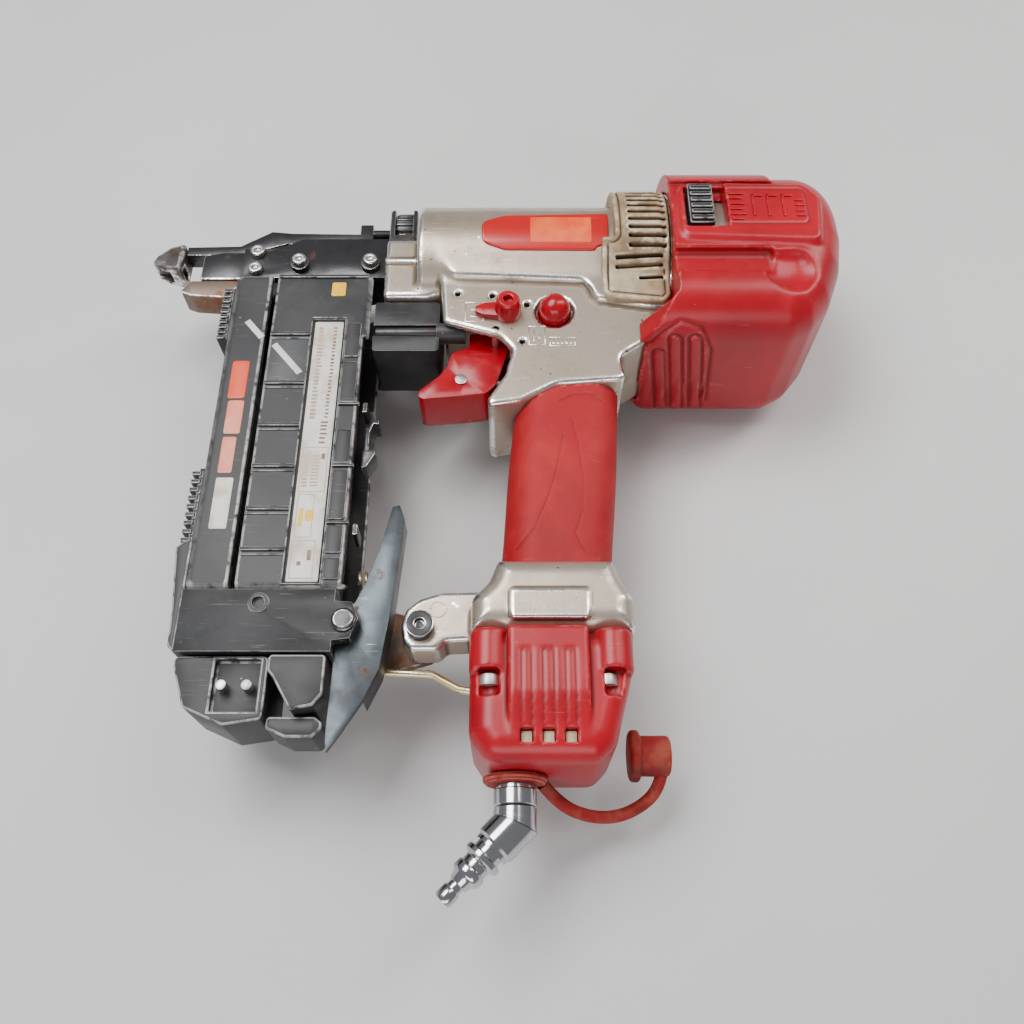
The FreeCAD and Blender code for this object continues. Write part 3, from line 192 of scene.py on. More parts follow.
def skin_mesh(name, field, low, high, step):
    """Surface of a field, on a grid, drawn onto it by Newton steps."""
    axes = [np.arange(a - 1.5 * step, b + 2.5 * step, step) for a, b in zip(low, high)]
    grid = [axes[0][:, None, None], axes[1][None, :, None], axes[2][None, None, :]]
    values = np.broadcast_to(field(*grid), [len(a) for a in axes]).astype(np.float32)
    inside = values < 0
    cells = [n - 1 for n in inside.shape]
    count = np.zeros(cells, np.int8)
    corners = [(i, j, k) for i in (0, 1) for j in (0, 1) for k in (0, 1)]
    for i, j, k in corners:
        count += inside[i:i + cells[0], j:j + cells[1], k:k + cells[2]]
    active = np.argwhere((count > 0) & (count < 8))
    index = np.full(cells, -1, np.int64)
    index[tuple(active.T)] = np.arange(len(active))
    at = {c: values[tuple((active + c).T)] for c in corners}
    total = np.zeros((len(active), 3))
    hits = np.zeros(len(active))
    for c in corners:
        for axis in range(3):
            if c[axis]:
                continue
            d = tuple(v + (n == axis) for n, v in enumerate(c))
            crossed = (at[c] < 0) != (at[d] < 0)
            t = np.where(crossed, at[c] / np.where(crossed, at[c] - at[d], 1), 0)
            point = np.tile(np.array(c, float), (len(active), 1))
            point[:, axis] += t
            total += point * crossed[:, None]
            hits += crossed
    spots = np.array([a[0] for a in axes]) + (active + total / hits[:, None]) * step
    faces = []
    for axis in range(3):
        b, c = (axis + 1) % 3, (axis + 2) % 3
        ahead = np.roll(inside, -1, axis)
        edges = np.argwhere(inside != ahead)
        edges = edges[(edges[:, axis] < inside.shape[axis] - 1) & (edges[:, b] > 0)
                      & (edges[:, c] > 0) & (edges[:, b] < cells[b]) & (edges[:, c] < cells[c])]
        step_b, step_c = np.eye(3, dtype=int)[b], np.eye(3, dtype=int)[c]
        ring = [edges, edges - step_b, edges - step_b - step_c, edges - step_c]
        quad = np.stack([index[tuple(r.T)] for r in ring], 1)
        outward = inside[tuple(edges.T)]
        quad = np.where(outward[:, None], quad, quad[:, ::-1])
        faces.append(quad[(quad >= 0).all(1)])
    faces = np.concatenate(faces)

    def value(p):
        return field(p[:, 0], p[:, 1], p[:, 2])

    start = spots.copy()
    tiny = 0.08
    for _ in range(3):
        here = value(spots)
        slope = np.stack([value(spots + tiny * e) - value(spots - tiny * e)
                          for e in np.eye(3)], 1) / (2 * tiny)
        size = np.maximum((slope ** 2).sum(1), 0.2)
        spots = spots - slope * (here / size)[:, None] * 0.9
        spots = np.clip(spots, start - step * 0.6, start + step * 0.6)
    # Curvature: positive on convex rims, used for edge wear; negative in hollows, used for painted
    # shade.
    reach = 1.1
    bend = sum(value(spots + s * reach * e) for e in np.eye(3) for s in (-1, 1))
    bend = (bend - 6 * value(spots)) / reach

    used = np.unique(faces)
    renumber = np.full(len(spots), -1, np.int64)
    renumber[used] = np.arange(len(used))
    mesh = bpy.data.meshes.new(name)
    mesh.from_pydata(((spots[used] + [SHIFT, 0, 0]) / 1000).tolist(), [],
                     renumber[faces].tolist())
    mesh.attributes.new("rim_wear_and_hollow_shade", "FLOAT", "POINT").data.foreach_set(
        "value", np.clip(bend[used], -1, 1).astype(np.float32))
    mesh.polygons.foreach_set("use_smooth", np.ones(len(mesh.polygons), bool))
    mesh.update()
    return mesh


def piece(obj, material, body="frame", nodes=()):
    obj.data.materials.clear()
    obj.data.materials.append(MATERIALS[material].mat)
    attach(obj, body)
    if nodes:
        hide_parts(*nodes)
    return obj


def moulded(name, field, low, high, step, material, nodes=(), body="frame"):
    mesh = skin_mesh(name, field, low, high, step)
    return piece(link(bpy.data.objects.new(name, mesh)), material, body, nodes)


def soften(node, width, material):
    """A CAD part with its sharp rims eased, and those rims marked as worn."""
    form = bmesh.new()
    form.from_mesh(frame["nodes"][node].data)
    bmesh.ops.remove_doubles(form, verts=form.verts, dist=2e-6)
    bmesh.ops.dissolve_limit(form, angle_limit=0.03, verts=form.verts, edges=form.edges)
    worn = form.faces.layers.float.new("wear_face")
    if width:
        rims = [e for e in form.edges if len(e.link_faces) == 2 and e.calc_face_angle(0) > 0.6]
        made = bmesh.ops.bevel(form, geom=rims, offset=width / 1000, segments=2, profile=0.5,
                               affect="EDGES", clamp_overlap=True, offset_type="OFFSET")
        for face in made["faces"]:
            face[worn] = 1.0
    finish_form(form, node + "_eased", material, BODY_OF[node], [node], worn)


def finish_form(form, name, material, body, nodes, worn=None):
    mesh = bpy.data.meshes.new(name)
    bmesh.ops.triangulate(form, faces=[f for f in form.faces if len(f.verts) > 4])
    form.normal_update()
    for face in form.faces:
        face.smooth = True
    for edge in form.edges:
        edge.smooth = not (len(edge.link_faces) == 2 and edge.calc_face_angle(0) > 0.75)
    marks = [face[worn] if worn else 0.0 for face in form.faces for _ in face.loops]
    form.to_mesh(mesh)
    form.free()
    mesh.attributes.new("rim_wear_and_hollow_shade", "FLOAT", "CORNER").data.foreach_set("value", marks)
    return piece(link(bpy.data.objects.new(name, mesh)), material, body, nodes)


def metres(x, y, z):
    return (x + SHIFT) / 1000, y / 1000, z / 1000


def add_prism(form, outline, z_low, z_high, edge, worn):
    """A flat outline drawn up from z_low to z_high, with eased rims."""
    low = [form.verts.new(metres(x, y, z_low)) for x, y in outline]
    high = [form.verts.new(metres(x, y, z_high)) for x, y in outline]
    faces = [form.faces.new(low[::-1]), form.faces.new(high)]
    for i in range(len(outline)):
        j = (i + 1) % len(outline)
        faces.append(form.faces.new((low[i], low[j], high[j], high[i])))
    bmesh.ops.recalc_face_normals(form, faces=faces)
    if edge:
        rims = {e for f in faces for e in f.edges if e.calc_face_angle(0) > 0.6}
        made = bmesh.ops.bevel(form, geom=list(rims), offset=edge / 1000, segments=2,
                               profile=0.5, affect="EDGES", clamp_overlap=True)
        for face in made["faces"]:
            face[worn] = 1.0


def cut_outs(name, shapes, material, edge=0.15, body="frame", nodes=()):
    """One piece made of several small plates: (outline, z_low, z_high)."""
    form = bmesh.new()
    worn = form.faces.layers.float.new("wear_face")
    for outline, z_low, z_high in shapes:
        add_prism(form, outline, z_low, z_high, edge, worn)
    return finish_form(form, name, material, body, nodes, worn)


def oblong(x_low, y_low, x_high, y_high, radius=0.0):
    corners = [(x_low, y_low), (x_high, y_low), (x_high, y_high), (x_low, y_high)]
    return rounded(corners, radius) if radius else corners


# ---- materials ----

class Skin:
    """A surface finish put together from layers of noise, in object coordinates."""

    def __init__(self, name, colour, rough, metal=0.0, coat=0.0, specular=0.5, coat_rough=0.08):
        self.mat = bpy.data.materials.new(name)
        self.mat.use_nodes = True
        self.tree = self.mat.node_tree
        self.shader = self.tree.nodes["Principled BSDF"]
        self.space = self.tree.nodes.new("ShaderNodeTexCoord").outputs["Object"]
        self.colour = (*colour, 1)
        self.rough = rough
        self.metal = metal
        self.bumps = []
        self.shader.inputs["Coat Weight"].default_value = coat
        self.shader.inputs["Coat Roughness"].default_value = coat_rough
        self.shader.inputs["Specular IOR Level"].default_value = specular

    def node(self, kind, **inputs):
        node = self.tree.nodes.new("ShaderNode" + kind)
        for key, value in inputs.items():
            self.put(node.inputs[key], value)
        return node

    def put(self, socket, value):
        if isinstance(value, bpy.types.NodeSocket):
            self.tree.links.new(value, socket)
        else:
            socket.default_value = value

    def noise(self, scale, detail=4, rough=0.55, stretch=(1, 1, 1), seed=0.0, turn=0.0):
        where = self.node("Mapping", Vector=self.space, Scale=stretch,
                          Location=(seed, seed * 0.7, -seed), Rotation=(0, 0, turn))
        made = self.node("TexNoise", Vector=where.outputs[0], Scale=scale, Detail=detail,
                         Roughness=rough)
        return made.outputs[0]

    def level(self, value, low, high):
        made = self.node("MapRange", Value=value)
        made.inputs["From Min"].default_value = low
        made.inputs["From Max"].default_value = high
        made.interpolation_type = "SMOOTHSTEP"
        return made.outputs[0]

    def sum(self, kind, a, b):
        made = self.tree.nodes.new("ShaderNodeMath")
        made.operation = kind
        made.use_clamp = True
        self.put(made.inputs[0], a)
        self.put(made.inputs[1], b)
        return made.outputs[0]

    def blend(self, mask, a, b, kind="RGBA"):
        made = self.tree.nodes.new("ShaderNodeMix")
        made.data_type = kind
        at = (6, 7, 2) if kind == "RGBA" else (2, 3, 0)
        self.put(made.inputs[0], mask)
        self.put(made.inputs[at[0]], a)
        self.put(made.inputs[at[1]], b)
        return made.outputs[at[2]]

    def layer(self, mask, colour=None, rough=None, metal=None):
        if colour is not None:
            self.colour = self.blend(mask, self.colour, (*colour, 1))
        if rough is not None:
            self.rough = self.blend(mask, self.rough, rough, "FLOAT")
        if metal is not None:
            self.metal = self.blend(mask, self.metal, metal, "FLOAT")
        return self

    # Curvature attribute: high on rims for edge wear, low in hollows for painted shade.
    def rim_wear_and_hollow_shade(self):
        made = self.tree.nodes.new("ShaderNodeAttribute")
        made.attribute_name = "rim_wear_and_hollow_shade"
        return made.outputs["Fac"]

    def blotches(self, colour, scale, low, high, rough=None, amount=1.0, seed=0.0, **more):
        mask = self.level(self.noise(scale, 5, 0.6, seed=seed, **more), low, high)
        return self.layer(self.sum("MULTIPLY", mask, amount), colour, rough)

    def edges(self, colour, rough, metal, low=0.15, high=0.6, broken=(0.35, 0.6), scale=220,
              amount=1.0):
        patchy = self.level(self.noise(scale, 5, 0.65, seed=3.1), *broken)
        mask = self.sum("MULTIPLY", self.level(self.rim_wear_and_hollow_shade(), low, high), patchy)
        return self.layer(self.sum("MULTIPLY", mask, amount), colour, rough, metal)

    # Painted shade: darkens concave hollows and grooves, where shade falls, by the curvature
    # attribute.
    def painted_hollow_shade(self, colour, rough, low=0.1, high=0.6, amount=0.8):
        flipped = self.sum("MULTIPLY", self.rim_wear_and_hollow_shade(), -1.0)
        mask = self.sum("MULTIPLY", self.level(flipped, low, high), amount)
        return self.layer(mask, colour, rough)

    def scratches(self, colour, rough, amount, turn, low=0.66, high=0.72, scale=60):
        fine = self.noise(scale, 3, 0.5, (1, 26, 6), seed=1.7, turn=turn)
        where = self.level(self.noise(45, 2, seed=5.0), 0.45, 0.62)
        mask = self.sum("MULTIPLY", self.level(fine, low, high), where)
        return self.layer(self.sum("MULTIPLY", mask, amount), colour, rough)

    def specks(self, colour, scale, low, high, rough=0.6, metal=None, seed=9.0):
        return self.layer(self.level(self.noise(scale, 2, 0.5, seed=seed), low, high),
                          colour, rough, metal)

    def bump(self, scale, strength, distance, detail=3, stretch=(1, 1, 1), seed=2.0):
        self.bumps.append((self.noise(scale, detail, 0.6, stretch, seed), strength, distance))
        return self

    def done(self):
        normal = None
        for height, strength, distance in self.bumps:
            made = self.node("Bump", Height=height, Strength=strength, Distance=distance)
            if normal is not None:
                self.put(made.inputs["Normal"], normal)
            normal = made.outputs[0]
        if normal is not None:
            self.put(self.shader.inputs["Normal"], normal)
        self.put(self.shader.inputs["Base Color"], self.colour)
        self.put(self.shader.inputs["Roughness"], self.rough)
        self.put(self.shader.inputs["Metallic"], self.metal)
        return self


def red_plastic(name, rough, dust):
    skin = Skin(name, (0.40, 0.0012, 0.012), rough, specular=0.4)
    skin.blotches((0.30, 0.0008, 0.008), 35, 0.35, 0.7)
    skin.blotches((0.46, 0.035, 0.035), 55, 0.52, 0.8, rough=0.5, amount=dust, seed=4.0)
    skin.scratches((0.62, 0.15, 0.14), 0.5, 0.35, 0.5)
    skin.scratches((0.55, 0.10, 0.10), 0.5, 0.3, 2.2)
    # Painted shade: darker red in the hollows.
    skin.painted_hollow_shade((0.12, 0.0006, 0.002), 0.6, 0.1, 0.7, 0.75)
    skin.edges((0.62, 0.16, 0.13), 0.45, 0.0, 0.3, 0.85, (0.5, 0.68), 260, 0.5)
    skin.specks((0.62, 0.42, 0.34), 700, 0.775, 0.81, 0.7)
    return skin.bump(2600, 0.12, 0.0002).bump(160, 0.08, 0.0006).done()


def make_materials():
    made = {}
    cast = Skin("cast_paint", (0.47, 0.395, 0.32), 0.33, 0.62, coat=0.1)
    cast.blotches((0.34, 0.265, 0.195), 30, 0.4, 0.72, 0.4, 0.85)
    cast.blotches((0.22, 0.135, 0.075), 90, 0.57, 0.8, 0.5, 0.75, seed=6.0)
    cast.blotches((0.62, 0.57, 0.50), 60, 0.6, 0.8, 0.26, 0.7, seed=14.0)
    cast.scratches((0.86, 0.84, 0.80), 0.25, 0.6, 0.3)
    cast.scratches((0.12, 0.09, 0.07), 0.5, 0.5, 1.9)
    # Dark brown in the hollows: grime and painted shade.
    cast.painted_hollow_shade((0.11, 0.075, 0.045), 0.6, 0.06, 0.45, 0.88)
    cast.edges((0.90, 0.88, 0.84), 0.2, 1.0, 0.1, 0.42, (0.34, 0.52), 160)
    cast.specks((0.05, 0.035, 0.03), 420, 0.725, 0.75)
    cast.specks((0.88, 0.86, 0.82), 300, 0.735, 0.76, 0.3, 1.0, seed=12.0)
    made["cast"] = cast.bump(900, 0.14, 0.0003).bump(120, 0.14, 0.0008).done()

    made["red"] = red_plastic("red_moulded", 0.33, 0.35)
    made["red_gloss"] = red_plastic("red_gloss", 0.2, 0.2)

    grip = Skin("red_rubber", (0.33, 0.004, 0.009), 0.58, specular=0.3)
    grip.blotches((0.42, 0.018, 0.02), 40, 0.4, 0.72, 0.66)
    grip.blotches((0.24, 0.002, 0.005), 25, 0.5, 0.8, 0.5, seed=3.0)
    grip.blotches((0.36, 0.05, 0.045), 120, 0.6, 0.8, 0.8, 0.55, seed=7.0, stretch=(1, 0.3, 1))
    grip.scratches((0.50, 0.11, 0.10), 0.6, 0.4, 1.2)
    # Painted shade: darker red in the grip's hollows and grooves.
    grip.painted_hollow_shade((0.12, 0.001, 0.003), 0.7)
    grip.edges((0.55, 0.12, 0.10), 0.6, 0.0, 0.3, 0.8, (0.45, 0.65))
    made["grip"] = grip.bump(1900, 0.25, 0.0003).bump(240, 0.15, 0.0006,
                                                      stretch=(1, 0.15, 1)).done()

    dusty = Skin("dusty_rubber", (0.27, 0.008, 0.008), 0.6, specular=0.3)
    dusty.blotches((0.30, 0.055, 0.035), 140, 0.42, 0.65, 0.8)
    dusty.blotches((0.12, 0.003, 0.004), 60, 0.5, 0.75, 0.5, seed=2.0)
    dusty.edges((0.48, 0.10, 0.07), 0.5, 0.0, 0.2, 0.7)
    made["dusty_red"] = dusty.bump(1500, 0.3, 0.0004).bump(300, 0.2, 0.0008).done()

    tan = Skin("dusty_vent", (0.34, 0.235, 0.13), 0.55, 0.15)
    tan.blotches((0.20, 0.135, 0.07), 80, 0.4, 0.65, 0.7)
    tan.blotches((0.44, 0.35, 0.24), 50, 0.5, 0.7, 0.5, seed=5.0)
    # Painted shade: near black in the vent slots and hollows.
    tan.painted_hollow_shade((0.05, 0.03, 0.015), 0.9, 0.05, 0.4, 0.95)
    tan.edges((0.72, 0.62, 0.46), 0.35, 0.6, 0.2, 0.7, (0.42, 0.6), 140, 0.75)
    made["tan"] = tan.bump(1400, 0.3, 0.0004).bump(200, 0.2, 0.001).done()

    black = Skin("black_moulded", (0.012, 0.0125, 0.0145), 0.4, specular=0.38)
    black.blotches((0.034, 0.033, 0.034), 45, 0.4, 0.7, 0.5)
    black.blotches((0.085, 0.072, 0.06), 110, 0.6, 0.8, 0.75, 0.5, seed=4.0)
    black.scratches((0.26, 0.25, 0.24), 0.5, 0.4, 0.4)
    black.scratches((0.18, 0.17, 0.16), 0.5, 0.35, 1.8)
    # Painted shade: darker black in the hollows.
    black.painted_hollow_shade((0.006, 0.0055, 0.005), 0.7)
    black.edges((0.46, 0.45, 0.43), 0.35, 0.4, 0.25, 0.8, (0.34, 0.56), 200, 0.8)
    black.specks((0.42, 0.38, 0.32), 600, 0.755, 0.78, 0.8)
    made["black"] = black.bump(2200, 0.15, 0.0002).bump(180, 0.1, 0.0006).done()

    panel = Skin("grey_panel", (0.045, 0.048, 0.052), 0.45)
    panel.blotches((0.07, 0.07, 0.07), 70, 0.45, 0.7)
    panel.scratches((0.35, 0.34, 0.33), 0.5, 0.5, 0.9)
    panel.edges((0.35, 0.34, 0.32), 0.4, 0.2)
    made["panel"] = panel.bump(2000, 0.12, 0.0002).done()

    dark = Skin("dark_steel", (0.075, 0.074, 0.078), 0.33, 0.85)
    dark.blotches((0.035, 0.034, 0.036), 60, 0.4, 0.7, 0.5)
    dark.blotches((0.15, 0.065, 0.03), 130, 0.58, 0.75, 0.75, 0.7, seed=8.0)
    dark.scratches((0.45, 0.44, 0.42), 0.3, 0.5, 0.8)
    dark.edges((0.74, 0.72, 0.68), 0.22, 1.0, 0.2, 0.7, (0.34, 0.52), 240)
    made["dark_steel"] = dark.bump(1100, 0.15, 0.0003).bump(200, 0.1, 0.0006).done()

    bright = Skin("worn_steel", (0.55, 0.53, 0.51), 0.28, 1.0)
    bright.blotches((0.30, 0.27, 0.25), 90, 0.42, 0.68, 0.42)
    bright.blotches((0.24, 0.12, 0.06), 150, 0.58, 0.74, 0.7, 0.8, seed=8.0)
    bright.scratches((0.80, 0.79, 0.77), 0.2, 0.6, 0.2)
    bright.edges((0.86, 0.85, 0.83), 0.18, 1.0)
    made["worn_steel"] = bright.bump(900, 0.15, 0.0003).bump(1800, 0.1, 0.0002,
                                                            stretch=(1, 12, 1)).done()

    rust = Skin("brown_steel", (0.20, 0.15, 0.12), 0.5, 0.7)
    rust.blotches((0.26, 0.11, 0.05), 120, 0.45, 0.68, 0.75)
    rust.edges((0.62, 0.58, 0.52), 0.3, 1.0)
    made["brown_steel"] = rust.bump(1200, 0.25, 0.0004).done()

    nose = Skin("nose_steel", (0.16, 0.15, 0.145), 0.4, 0.85)
    nose.blotches((0.07, 0.055, 0.045), 90, 0.4, 0.66, 0.55)
    nose.blotches((0.12, 0.05, 0.025), 150, 0.55, 0.72, 0.7, 0.8, seed=8.0)
    nose.scratches((0.75, 0.74, 0.72), 0.25, 0.7, 0.2)
    # Painted shade: darker steel in the hollows.
    nose.painted_hollow_shade((0.02, 0.015, 0.01), 0.8, 0.1, 0.5, 0.8)
    nose.edges((0.82, 0.80, 0.77), 0.2, 1.0, 0.15, 0.5, (0.42, 0.58), 200)
    made["nose_steel"] = nose.bump(900, 0.25, 0.0004).bump(200, 0.2, 0.001).done()

    lever = Skin("lever_steel", (0.075, 0.09, 0.10), 0.34, 0.75)
    lever.blotches((0.04, 0.045, 0.05), 50, 0.4, 0.7, 0.46)
    lever.blotches((0.20, 0.22, 0.225), 70, 0.58, 0.78, 0.28, 0.75, seed=6.0)
    lever.blotches((0.13, 0.05, 0.025), 110, 0.6, 0.74, 0.75, 0.9, seed=2.0)
    lever.scratches((0.60, 0.61, 0.60), 0.25, 0.6, 1.4)
    lever.edges((0.20, 0.075, 0.04), 0.6, 0.6, 0.2, 0.7, (0.30, 0.5), 90)
    lever.edges((0.66, 0.66, 0.64), 0.25, 1.0, 0.3, 0.8, (0.5, 0.6), 170)
    made["lever"] = lever.bump(1000, 0.15, 0.0003).done()

    chrome = Skin("chrome", (0.56, 0.56, 0.58), 0.13, 1.0)
    chrome.blotches((0.40, 0.395, 0.40), 60, 0.42, 0.72, 0.24)
    chrome.scratches((0.70, 0.69, 0.68), 0.3, 0.5, 0.4)
    chrome.scratches((0.60, 0.58, 0.56), 0.3, 0.4, 2.0)
    chrome.specks((0.35, 0.31, 0.27), 500, 0.745, 0.77, 0.5)
    made["chrome"] = chrome.bump(300, 0.02, 0.0004).done()

    alloy = Skin("bare_alloy", (0.62, 0.60, 0.57), 0.4, 0.95)
    alloy.blotches((0.45, 0.41, 0.37), 60, 0.42, 0.7, 0.55)
    alloy.blotches((0.42, 0.28, 0.18), 140, 0.6, 0.78, 0.65, 0.7, seed=7.0)
    alloy.edges((0.85, 0.83, 0.80), 0.25, 1.0)
    made["alloy"] = alloy.bump(1500, 0.2, 0.0003).done()

    brass = Skin("brass_wire", (0.62, 0.50, 0.26), 0.32, 0.95)
    brass.blotches((0.66, 0.60, 0.46), 120, 0.4, 0.65, 0.25)
    brass.blotches((0.22, 0.15, 0.07), 220, 0.58, 0.75, 0.6)
    made["brass"] = brass.bump(1500, 0.2, 0.0002).done()

    seal = Skin("seal_rubber", (0.022, 0.021, 0.021), 0.65)
    seal.blotches((0.05, 0.045, 0.04), 120, 0.45, 0.7, 0.8)
    made["seal"] = seal.bump(1600, 0.3, 0.0003).done()

    buffer = Skin("tan_rubber", (0.42, 0.27, 0.12), 0.6)
    buffer.blotches((0.30, 0.19, 0.09), 90, 0.45, 0.7)
    made["tan_rubber"] = buffer.bump(1200, 0.2, 0.0004).done()

    plate = Skin("red_plate", (0.50, 0.003, 0.004), 0.28, coat=0.2)
    plate.blotches((0.44, 0.006, 0.006), 60, 0.4, 0.7)
    plate.scratches((0.70, 0.30, 0.22), 0.5, 0.4, 0.2)
    plate.specks((0.62, 0.36, 0.26), 500, 0.76, 0.79)
    made["plate"] = plate.bump(1800, 0.08, 0.0002).done()

    for key, colour, stain in (
        ("orange", (0.78, 0.06, 0.006), (0.80, 0.14, 0.02)),
        ("yellow", (0.86, 0.52, 0.005), (0.70, 0.38, 0.01)),
        ("white", (0.70, 0.68, 0.63), (0.50, 0.44, 0.34)),
        ("beige", (0.60, 0.50, 0.32), (0.40, 0.27, 0.15)),
        ("print", (0.16, 0.075, 0.04), (0.34, 0.20, 0.11)),
        ("pale_print", (0.36, 0.24, 0.13), (0.55, 0.46, 0.34)),
        ("pink", (0.80, 0.22, 0.14), (0.84, 0.40, 0.24)),
    ):
        film = Skin(key + "_film", colour, 0.42)
        film.blotches(stain, 110, 0.42, 0.7, 0.6)
        film.blotches(tuple(0.5 * c for c in stain), 400, 0.66, 0.76, 0.7, 0.6, seed=5.0)
        film.scratches(tuple(0.35 * c for c in colour), 0.6, 0.5, 0.7)
        made[key] = film.bump(1600, 0.1, 0.0002).done()

    ground = Skin("pale_floor", (0.62, 0.62, 0.61), 0.55)
    ground.blotches((0.58, 0.58, 0.575), 3, 0.35, 0.7)
    made["floor"] = ground.bump(500, 0.04, 0.0004).done()
    return made


# ---- the rear cap ----

CAP_SIDE = rounded([(40, 190), (139.9, 190), (139.9, 100), (137.2, 85), (131, 69), (123, 59),
                    (114, 54), (40, 54)], [0, 0, 16, 16, 12, 8, 8, 0])
CAP_MOUTH = rounded([(69.2, 190), (69.2, 66), (66, 63.5), (51, 63.5), (50, 60), (50, 40),
                     (170, 40), (170, 190)], [0, 3, 1, 2, 2, 0, 0, 0])
CAP_PANEL = rounded([(72, 91), (127, 88.5), (129.5, 112), (123, 119.5), (72, 120.5)], 5)
NECK = [(-24, 90), (-24, 84), (-22.5, 65), (0, 58), (5, 51.5), (2.5, 40), (-4.5, 28),
        (-3.5, 25), (8, 27), (22, 35), (46, 37), (49, 38), (47, 48), (66, 61), (66, 90)]


def cap_field(x, y, z):
    off = np.abs(z - MID)
    wide = np.hypot(np.maximum(y - AXIS_Y, 0), off)
    shape = slab(polygon(x, y, CAP_SIDE), wide, 38.8, 18)
    shape = join(shape, slab(polygon(x, y, CAP_PANEL), off, np.where(z > MID, 40.3, 40.9),
                             2.2), 2.2)
    strip = np.maximum(rod(y - AXIS_Y, off, 40.7, x - 86, 27, 3), 124 - y)
    shape = join(shape, strip, 1.2)
    shape = carve(shape, block(x, y, off, (60, 75.5, 34.6), (107.5, 86.8, 50), 2.5), 1.6)
    pocket = np.sqrt(((x - 115) / 11) ** 2 + ((y - 74.5) / 10) ** 2 + ((off - 40.5) / 6.5) ** 2)
    shape = carve(shape, (pocket - 1) * 6, 1.6)
    shape = carve(shape, block(x, y, off, (104, 70.5, 36.2), (119, 84, 50), 3), 2.4)
    under = np.exp(-((y - 54) / 3.5) ** 2)
    run = x - 0.16 * (23 - (z - MID))
    for middle, top in ((61.8, 13), (68.6, 22), (76.6, 22)):
        legs = np.where(z - MID < top, np.abs(np.abs(run - middle) - 2.6),
                        np.abs(np.hypot(run - middle, z - MID - top) - 2.6))
        shape = shape + under * line(legs, 0.75, 0.9)
    arch = track(x, z - MID, [(88, -20), (84, 16), (78.5, 28), (70, 30.5), (63, 25.5), (53, 13)])
    shape = shape + under * line(arch, 0.8, 0.7)
    scallop = 1.1 * (0.5 + 0.5 * np.cos(2 * math.pi * (x - 50) / 7.4))
    shape = shape + np.where(x < 86, scallop, 0) * np.exp(-((z - MID + 16) / 9) ** 2) * under
    panel_lines = np.abs(polygon(x, y, oblong(90.5, 97.5, 123, 116, 3)))
    high = np.clip((off - 36) / 3, 0, 1) * (z > MID)
    shape = shape + high * line(panel_lines, 0.6, 0.45)
    rim = np.abs(polygon(x, y, CAP_SIDE) + 6.5)
    shape = shape + np.where(x > 100, 1, 0) * high * line(rim, 0.7, 0.3)
    shape = np.maximum(shape, polygon(x, y, CAP_MOUTH))
    slant = (off + 1.41 * (67 - x) - 37) / 1.73
    shape = np.where(y < 66, carve(shape, -np.where(x < 69, slant, -9), 1.0), shape)
    hollow = rod(y - AXIS_Y, z - MID, 33.6, x - 84.5, 45, 4)
    shape = np.maximum(shape, -hollow)
    shape = np.maximum(shape, -slab(polygon(x, y, NECK) - 0.4, off, 20.5, 0.3))
    window = block(x, y, z, (74.2, 96.3, 73.4), (91, 121.7, 100), 0.8)
    return carve(shape, window, 0.7)


def rear_cap():
    moulded("rear_cap", cap_field, (50, 54, 0), (140, 147.8, 82), 0.8, "red",
            ["cap_cover"])
    shapes = []
    for x_high, y in ((98, 113), (97, 110.5), (98, 107.6), (97, 104.8), (98, 102), (97, 99.4)):
        shapes.append((oblong(92, y - 0.4, x_high, y + 0.4), 81.0, 81.95))
    for x in (101, 107, 113):
        shapes.append((oblong(x, 101, x + 0.9, 112.5, 0.3), 81.0, 81.95))
        shapes.append((oblong(x, 111.6, x + 4.4, 112.5, 0.3), 81.0, 81.95))
    for y in (101, 106.5):
        shapes.append((oblong(118.2, y, 122, y + 0.9, 0.3), 81.0, 81.9))
        shapes.append((oblong(118.2, y + 2.6, 121.4, y + 3.4, 0.3), 81.0, 81.9))
    cut_outs("cap_relief_bars", shapes, "red", 0.2)
    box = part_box("exhaust_slide_knob")
    low, high = ([corner[0] * 1000 - SHIFT, corner[1] * 1000, corner[2] * 1000] for corner in box)
    form = [(oblong(low[0], low[1], high[0], high[1], 1), low[2], high[2] - 1.3)]
    pitch = (high[1] - low[1] - 2) / 6
    for i in range(6):
        y = low[1] + 1 + pitch * i
        form.append((oblong(low[0] + 0.8, y, high[0] - 0.8, y + pitch * 0.62, 0.5),
                     low[2] + 1, high[2]))
    cut_outs("slide_knob", form, "black", 0.35, "exhaust_slide_knob",
             ["exhaust_slide_knob"])


# ---- the casting, vent and plate ----

LEDGE = rounded([(-26, 101), (-19.5, 87), (34, 84.4), (36.5, 80.5), (38.5, 75), (69, 69.5),
                 (69, 118), (-26, 118)], [3, 5, 5, 2, 4, 0, 0, 0])
NECK_SIDE = rounded(NECK, [0, 0, 3, 4, 3, 5, 3, 2, 6, 10, 4, 2, 5, 2, 0])
BELL = rounded([(0, -40), (40, -40), (43, -48), (46.5, -54), (46.5, -66), (-9, -66), (-9, -54),
                (-3, -48)], [0, 0, 6, 5, 0, 0, 5, 6])
LUG = rounded([(-34, -59), (-32.5, -53), (-27.5, -49), (-20, -46.5), (0, -46), (0, -64),
               (-18, -65), (-21, -68), (-30, -68), (-33, -65)], [6, 5, 6, 6, 0, 0, 3, 3, 3, 4])


